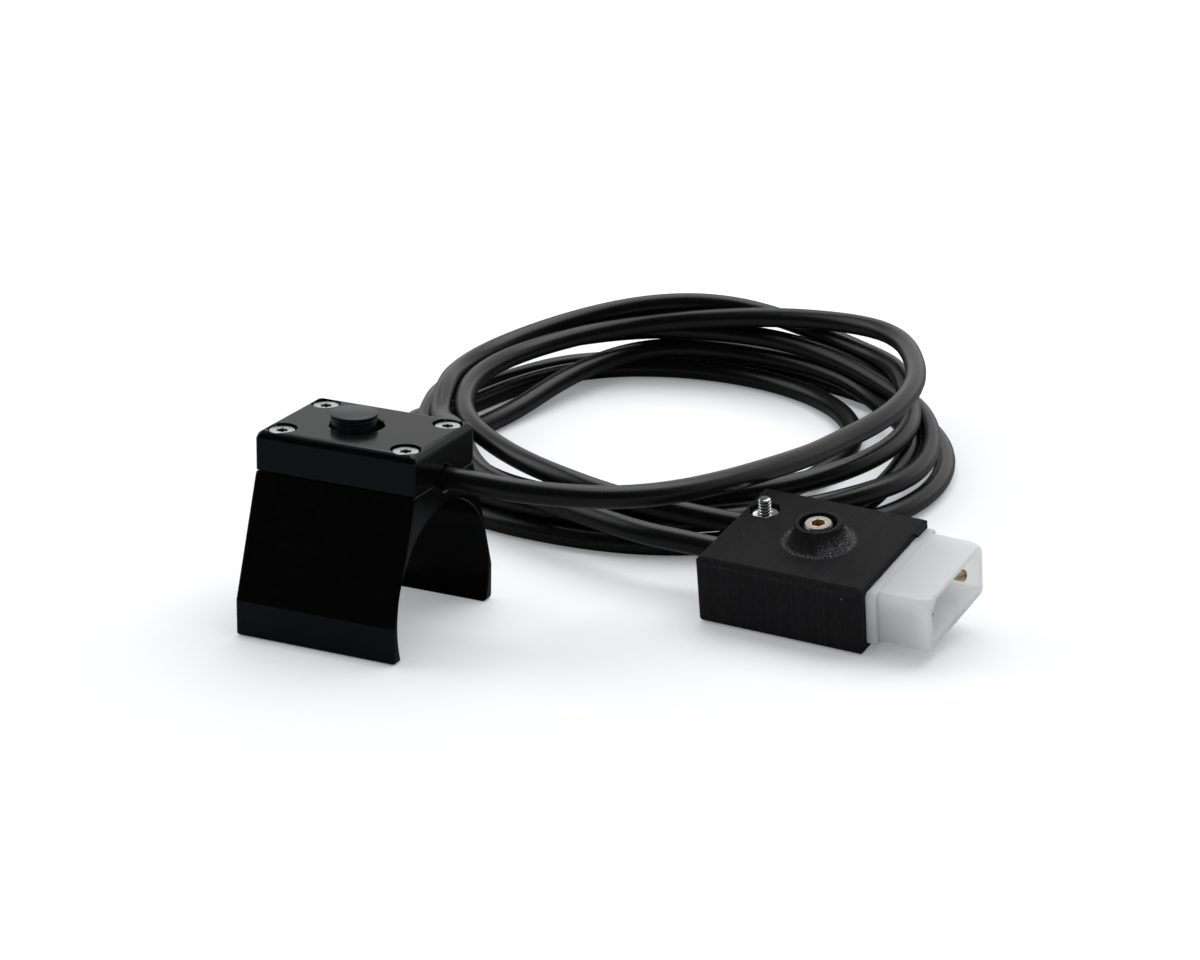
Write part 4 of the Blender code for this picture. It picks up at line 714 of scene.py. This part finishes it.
cable_end = graded(tree, spot.outputs["X"], 0.0142, 0.0130, 0.0, 0.8)
flank_ends = math_of(tree, "MULTIPLY", flank, math_of(tree, "MAXIMUM", mouth_end, cable_end))
curled = math_of(tree, "MULTIPLY", math_of(tree, "MAXIMUM", foot, flank_ends), curls)
crown_highlight = math_of(tree, "MULTIPLY", crown, curls)
above = graded(tree, spot.outputs["Z"], SHELL_TOP - 0.0008, SHELL_TOP - 0.0002)
repaint(parts, math_of(tree, "MULTIPLY", curled, above), (0.20, 0.20, 0.205))
# Painted highlight: a paler ring on the boss's crown, where its rim catches the light.
repaint(parts, math_of(tree, "MULTIPLY", crown_highlight, above), (0.05, 0.05, 0.053))
bevel_middle = (0.0, SHELL_CHAMFER / 2 - SHELL_SIDE, SHELL_TOP - SHELL_CHAMFER / 2)
bevel = group_node(tree, edge_group, Vector=place, Line=bevel_middle, Width=0.00062)
# Painted shade: the bevel along the front edge is painted darker than the faces.
repaint(parts, bevel.outputs["Mask"], (0.0012, 0.0012, 0.0013))
for y, z in ((-SHELL_SIDE, SHELL_TOP - SHELL_CHAMFER), (SHELL_CHAMFER - SHELL_SIDE, SHELL_TOP),
             (SHELL_SIDE - SHELL_CHAMFER, SHELL_TOP)):
    edge = group_node(tree, edge_group, Vector=place, Line=(0.0, y, z), Width=0.00028)
    repaint(parts, edge.outputs["Mask"], WORN_GREY)
print("printed shell's nodes:", len(tree.nodes))

# %% [markdown]
# ## Metal finishes
# The housing screws are stainless, and their six-lobed sockets get painted shade: everything below the
# socket's rim is painted a dark warm brown. The clamp screw is bright zinc with painted shade in its thread
# roots: the roots are what lies close to its axis. The cap screw is a dull, blackened zinc whose socket
# shines golden.

# %% Screws, nut and contacts
RECESS_LEVEL = 0.0369
RECESS_FADE = 0.00012
parts = finish("stainless", (0.50, 0.515, 0.52), (0.68, 0.70, 0.71), (0.20, 0.34), metallic=0.82,
               grain=(900.0, 9000.0), bump=0.000004)
height = add_node(parts["tree"], "ShaderNodeSeparateXYZ", Vector=parts["place"]).outputs["Z"]
# Painted shade: the socket, below its rim, is painted a dark warm brown.
repaint(parts, graded(parts["tree"], height, RECESS_LEVEL, RECESS_LEVEL - RECESS_FADE), (0.16, 0.12, 0.085))
finish("zinc", (0.56, 0.58, 0.58), (0.78, 0.80, 0.80), (0.18, 0.30), metallic=0.70,
       grain=(800.0, 7000.0), bump=0.000005)
CLAMP_PLACE = (0.0040, 0.0062, 0.0)
CLAMP_TOP = 0.0160
CLAMP_UNSHADED_TIP = 0.0004
THREAD_ROOT = 0.00108
parts = finish("clamp_zinc", (0.50, 0.51, 0.51), (0.72, 0.74, 0.74), (0.16, 0.26), metallic=0.80,
               grain=(900.0, 8000.0), bump=0.000004, mapping=PLUG_FRAME)
tree = parts["tree"]
roots = group_node(tree, ring_group, Vector=parts["place"], Centre=CLAMP_PLACE, Inner=-1.0,
                   Outer=THREAD_ROOT, Soft=0.00006)
height = add_node(tree, "ShaderNodeSeparateXYZ", Vector=parts["place"]).outputs["Z"]
unshaded_from = CLAMP_TOP - CLAMP_UNSHADED_TIP
under_tip = graded(tree, height, unshaded_from, unshaded_from + 0.0001, 1.0, 0.0)
# Painted shade: the thread roots, below the tip, are painted near black.
repaint(parts, math_of(tree, "MULTIPLY", roots.outputs["Mask"], under_tip), (0.03, 0.028, 0.026))
parts = finish("cap_screw_zinc", (0.12, 0.118, 0.112), (0.22, 0.215, 0.205), (0.18, 0.28),
               grain=(800.0, 7000.0), bump=0.000004, metallic=0.75, mapping=PLUG_FRAME)
socket = group_node(parts["tree"], ring_group, Vector=parts["place"], Centre=BOSS_PLACE, Inner=-1.0,
                    Outer=0.00150, Soft=0.00006)
repaint(parts, socket.outputs["Mask"], (0.50, 0.34, 0.18))
finish("brass", (0.46, 0.34, 0.18), (0.70, 0.58, 0.38), (0.22, 0.34), metallic=0.85,
       grain=(900.0, 8000.0), bump=0.000004)
finish("dome_steel", (0.58, 0.56, 0.50), (0.78, 0.76, 0.70), (0.2, 0.3), metallic=1.0)
print("finishes so far:", *FINISHES)

# %% [markdown]
# ## The milky plug
# The plug is unfilled nylon, milky and a little see-through. Subsurface scattering alone left its walls
# chalky, because the light that comes through a thin wall is missing. A translucent shader passes that
# light on, so a little more than half of the finish is translucent.

# %% Nylon
NYLON_SCATTER = 0.0045
NYLON_THROUGH = 0.58
parts = finish("nylon", (0.90, 0.92, 0.92), (0.94, 0.95, 0.95), (0.26, 0.36), grain=(120.0, 2600.0),
               bump=0.000004, specular=0.45)
tree = parts["tree"]
shader = parts["shader"]
feed(tree, shader.inputs["Subsurface Weight"], 1.0)
feed(tree, shader.inputs["Subsurface Radius"], (1.0, 0.97, 0.90))
feed(tree, shader.inputs["Subsurface Scale"], NYLON_SCATTER)
through = add_node(tree, "ShaderNodeBsdfTranslucent", Color=(0.985, 0.995, 0.995, 1.0))
milky = add_node(tree, "ShaderNodeMixShader", NYLON_THROUGH, shader.outputs[0], through.outputs[0])
nylon_out = next(node for node in tree.nodes if node.type == "OUTPUT_MATERIAL")
feed(tree, nylon_out.inputs["Surface"], milky.outputs[0])
print("nylon, share that lets light through:", NYLON_THROUGH)

# %% [markdown]
# ## Hidden parts
# Nothing in the photograph shows inside the housing, but someone who opens this model will look there.
# The switch has a black case and a pale stem, the board is green with the weave of its glass cloth in
# the lacquer, and the two cores are red and black.

# %% Case, stem, board and cores
finish("case_plastic", (0.02, 0.02, 0.02), (0.04, 0.04, 0.04), (0.4, 0.55))
finish("stem_plastic", (0.48, 0.46, 0.41), (0.58, 0.56, 0.51), (0.4, 0.5))
parts = finish("board_green", (0.01, 0.09, 0.035), (0.03, 0.16, 0.07), (0.3, 0.42),
               grain=(1500.0, 9000.0), bump=0.000015)
tree = parts["tree"]
weave = group_node(tree, line_group, Vector=parts["place"], Stretch=(6000.0, 500.0, 6000.0))
cloth = add_node(tree, "ShaderNodeBump", Distance=0.00001, Height=weave.outputs["Value"])
feed(tree, parts["shader"].inputs["Normal"], cloth.outputs["Normal"])
finish("core_red", (0.38, 0.02, 0.015), (0.52, 0.04, 0.03), (0.4, 0.5))
finish("core_black", (0.012, 0.012, 0.012), (0.028, 0.028, 0.028), (0.4, 0.5))
print("finishes so far:", len(FINISHES))

# %% [markdown]
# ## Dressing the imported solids
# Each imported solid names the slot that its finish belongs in, and each finish is kept under that name, so
# one loop dresses them all. Only the cap screw, in the slot of the brighter zinc, gets a darker one.

# %% Put the finishes on
slots = {part["node"]: part["material_slot"] for part in frame["record"]["subparts"]}
for name, thing in nodes.items():
    thing.data.materials.clear()
    thing.data.materials.append(FINISHES[slots[name]])
cable.data.materials.append(FINISHES["cable_black"])
nodes["cap_screw"].data.materials[0] = FINISHES["cap_screw_zinc"]
print("finishes:", len(FINISHES), "nodes dressed:", len(nodes))

# %% [markdown]
# ## Smooth versions of the milled parts
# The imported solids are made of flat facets, and a bore or a rounded edge shows them as soon as light
# runs along it. Their shape is right, so each is copied, its points are merged, and its normals are
# blended over the gentle steps only. A weighted normal modifier keeps the large flats flat. The saddle's
# sides meet its foot band at a very flat angle that the photograph shows as a crisp line, so there only
# the finest steps are blended.

# %% Smooth copies
COPY_MERGE = 2e-6
COPY_FLAT = 0.4
BLEND_ANGLES = {"saddle_bracket": 7.0, "switch_housing": 32.0, "plug_shell": 24.0, "plug_housing": 32.0}


def smooth_copy(node, name, angle):
    """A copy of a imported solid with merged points, blended normals and its weighted flats."""
    mesh = nodes[node].data.copy()
    mesh.name = name
    bm = bmesh.new()
    bm.from_mesh(mesh)
    bmesh.ops.remove_doubles(bm, verts=bm.verts, dist=COPY_MERGE)
    bmesh.ops.dissolve_limit(bm, angle_limit=math.radians(COPY_FLAT), verts=bm.verts, edges=bm.edges)
    bm.to_mesh(mesh)
    bm.free()
    mesh.shade_smooth()
    mesh.set_sharp_from_angle(angle=math.radians(angle))
    piece = add_object(name, mesh)
    piece.modifiers.new("flat_stays_flat", "WEIGHTED_NORMAL").keep_sharp = True
    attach(piece, "base")
    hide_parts(node)
    return piece


copies = {node: smooth_copy(node, node + "_smooth", blend) for node, blend in BLEND_ANGLES.items()}
for copy in copies.values():
    print(copy.name, len(copy.data.polygons), "faces")

# %% [markdown]
# ## The button's cap
# The cap is a turned thimble: a thin disc on top, two narrow grooves with a ring between them, and a
# slightly smaller skirt below. Moulded plastic has no truly sharp edge, so each rim of the profile is a
# quarter circle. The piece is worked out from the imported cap's own box, so it keeps its axis and height.

# %% Button cap
CAP_SIDES = 128
CAP_DISC = 0.00055
CAP_GROOVE = 0.00021
CAP_RING = 0.00038
CAP_GROOVE_DEPTH = 0.00034
CAP_SKIRT_STEP = 0.0002
CAP_EDGE = 0.00012
STEM_SOCKET_RADIUS = 0.0021
STEM_SOCKET_DEPTH = 0.0022


def box_of(node):
    """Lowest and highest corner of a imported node, in metres."""
    mesh = nodes[node].data
    points = np.empty(len(mesh.vertices) * 3)
    mesh.vertices.foreach_get("co", points)
    points = points.reshape(-1, 3)
    return points.min(axis=0), points.max(axis=0)


def quarter(radius, height, size, start, steps=5):
    """Profile points of a rounded rim: a quarter circle of the given size, clockwise from the start
    angle in degrees, about the place (radius, height)."""
    angle = np.radians(start - 90.0 * np.arange(steps) / (steps - 1))
    return [(radius + size * math.cos(a), height + size * math.sin(a)) for a in angle]


def rim(radius, top, bottom, size):
    """Profile points of a disc's edge, rounded above and below."""
    return quarter(radius - size, top - size, size, 90.0) + quarter(radius - size, bottom + size, size, 0.0)


def level_rings(rows, sides, centre):
    """A grid of level rings about an upright axis. Each row is a height after a radius, or after one
    radius for each point of its ring."""
    turn = full_turn(sides)
    rings = [np.stack(np.broadcast_arrays(radius * np.cos(turn), radius * np.sin(turn), height), axis=-1)
             for radius, height in rows]
    return np.array(rings) + np.array(centre)


low, high = box_of("button_cap")
cap_radius = (high[0] - low[0]) / 2
cap_centre = ((low[0] + high[0]) / 2, (low[1] + high[1]) / 2, 0.0)
levels = high[2] - np.cumsum([0.0, CAP_DISC, CAP_GROOVE, CAP_RING, CAP_GROOVE])
groove_radius = cap_radius - CAP_GROOVE_DEPTH
socket_top = low[2] + STEM_SOCKET_DEPTH
cap_rows = [
    (0.0, high[2]), *rim(cap_radius, levels[0], levels[1], CAP_EDGE),
    (groove_radius, levels[1]), (groove_radius, levels[2]), *rim(cap_radius, levels[2], levels[3], CAP_EDGE),
    (groove_radius, levels[3]), (groove_radius, levels[4]),
    *rim(cap_radius - CAP_SKIRT_STEP, levels[4], low[2], CAP_EDGE),
    (STEM_SOCKET_RADIUS, low[2]), (STEM_SOCKET_RADIUS, socket_top), (0.0, socket_top),
]
cap_piece = grid_piece("button_cap_turned", level_rings(cap_rows, CAP_SIDES, cap_centre), sharp=40.0)
cap_piece.data.materials.append(FINISHES["cap_plastic"])
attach(cap_piece, "button")
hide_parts("button_cap")
print("button cap faces:", len(cap_piece.data.polygons))

# %% [markdown]
# ## The clamp screw
# A rolled thread is a helix, and its radius is a wave of the height less the angle: one turn round moves
# the wave up by one pitch. That one formula gives every crest and root, so the whole screw is one grid.
# The tip is rounded by keeping the radius under a quarter circle.

# %% Clamp screw
CLAMP_SIDES = 48
THREAD_RADIUS = 0.00125
THREAD_PITCH = 0.00066
THREAD_DEPTH = 0.00036
THREAD_ROWS = 236
CREST_SHARPNESS = 0.8
CLAMP_HEAD_TOP = -0.0011
CLAMP_HEAD_BOTTOM = -0.0036
CLAMP_HEAD_RADIUS = 0.00225
CLAMP_HEAD_EDGE = 0.0003
CLAMP_TIP_ROUND = 0.00045
CLAMP_TIP_RING = 0.6
CLAMP_SOCKET_FLATS = 0.0020
CLAMP_SOCKET_DEPTH = 0.0012
LEAN, _, SWING = PLUG_FRAME_TURN
PLUG_AXES = np.array(Matrix.Rotation(SWING, 3, "Z") @ Matrix.Rotation(LEAN, 3, "X"))


def in_plug_frame(grid):
    """World places of a grid given in the shell's own frame."""
    return grid @ PLUG_AXES.T + np.array(PLUG_FRAME_PLACE)


def hexagon_radius(turn, flats):
    """Distance from a hexagon's middle to its outline, by angle."""
    return flats / 2 / np.cos((turn + np.pi / 6) % (np.pi / 3) - np.pi / 6)


turn = full_turn(CLAMP_SIDES)
heights = np.linspace(CLAMP_HEAD_TOP, CLAMP_TOP, THREAD_ROWS)
wave = 0.5 + 0.5 * np.cos(2 * np.pi * heights[:, None] / THREAD_PITCH - turn[None, :])
threaded = THREAD_RADIUS - THREAD_DEPTH * (1.0 - wave ** CREST_SHARPNESS)
into_tip = np.clip((heights - (CLAMP_TOP - CLAMP_TIP_ROUND)) / CLAMP_TIP_ROUND, 0.0, 1.0)
tip_limit = THREAD_RADIUS - CLAMP_TIP_ROUND * (1.0 - np.sqrt(1.0 - into_tip ** 2))
threaded = np.minimum(threaded, tip_limit[:, None])
socket_row = hexagon_radius(turn, CLAMP_SOCKET_FLATS)
socket_top = CLAMP_HEAD_BOTTOM + CLAMP_SOCKET_DEPTH
head = [(0.0, socket_top), (socket_row, socket_top), (socket_row, CLAMP_HEAD_BOTTOM),
        (CLAMP_HEAD_RADIUS - CLAMP_HEAD_EDGE, CLAMP_HEAD_BOTTOM),
        (CLAMP_HEAD_RADIUS, CLAMP_HEAD_BOTTOM + CLAMP_HEAD_EDGE), (CLAMP_HEAD_RADIUS, CLAMP_HEAD_TOP)]
rows = head + list(zip(threaded, heights)) + [(threaded[-1] * CLAMP_TIP_RING, CLAMP_TOP), (0.0, CLAMP_TOP)]
screw_grid = in_plug_frame(level_rings(rows, CLAMP_SIDES, CLAMP_PLACE))
clamp_piece = grid_piece("clamp_screw_threaded", screw_grid, sharp=50.0)
clamp_piece.data.materials.append(FINISHES["clamp_zinc"])
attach(clamp_piece, "base")
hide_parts("clamp_screw")
print("thread turns:", round((CLAMP_TOP - CLAMP_HEAD_TOP) / THREAD_PITCH, 1))

# %% [markdown]
# ## The clamp nut
# A nut is a hexagon turned against a cone above and below, which draws the curved bright corners of a
# real nut. Cutting a prism with cones would do it too, but here its outer radius is simply the smaller
# of the two, row by row.

# %% Clamp nut
NUT_SIDES = 96
NUT_FLATS = 0.0048
NUT_BOTTOM = 0.0118
NUT_TOP = 0.0128
NUT_FACE_SHARE = 0.98
NUT_CONE_SLOPE = math.tan(math.radians(60.0))
NUT_CONE_ROWS = 7
NUT_BORE = THREAD_RADIUS + 0.00002
NUT_SINK = THREAD_RADIUS + 0.00030
NUT_SINK_DEPTH = 0.00028
turn = full_turn(NUT_SIDES)
corner_gap = NUT_FLATS / 2 * (1 / math.cos(math.pi / 6) - NUT_FACE_SHARE)
depths = np.linspace(0.0, corner_gap / NUT_CONE_SLOPE, NUT_CONE_ROWS)
cone = NUT_FLATS / 2 * NUT_FACE_SHARE + depths * NUT_CONE_SLOPE
coned = np.minimum(hexagon_radius(turn, NUT_FLATS)[None, :], cone[:, None])
rows = [(NUT_BORE, NUT_TOP - NUT_SINK_DEPTH), (NUT_SINK, NUT_TOP), *zip(coned, NUT_TOP - depths),
        *zip(coned[::-1], NUT_BOTTOM + depths[::-1]), (NUT_SINK, NUT_BOTTOM),
        (NUT_BORE, NUT_BOTTOM + NUT_SINK_DEPTH), (NUT_BORE, NUT_TOP - NUT_SINK_DEPTH)]
nut_grid = in_plug_frame(level_rings(rows, NUT_SIDES, CLAMP_PLACE))
nut_piece = grid_piece("clamp_nut_coned", nut_grid, sharp=30.0)
nut_piece.data.materials.append(FINISHES["zinc"])
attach(nut_piece, "base")
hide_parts("clamp_nut")
print("nut corner radius mm:", round(float(coned.max()) * 1000, 2))
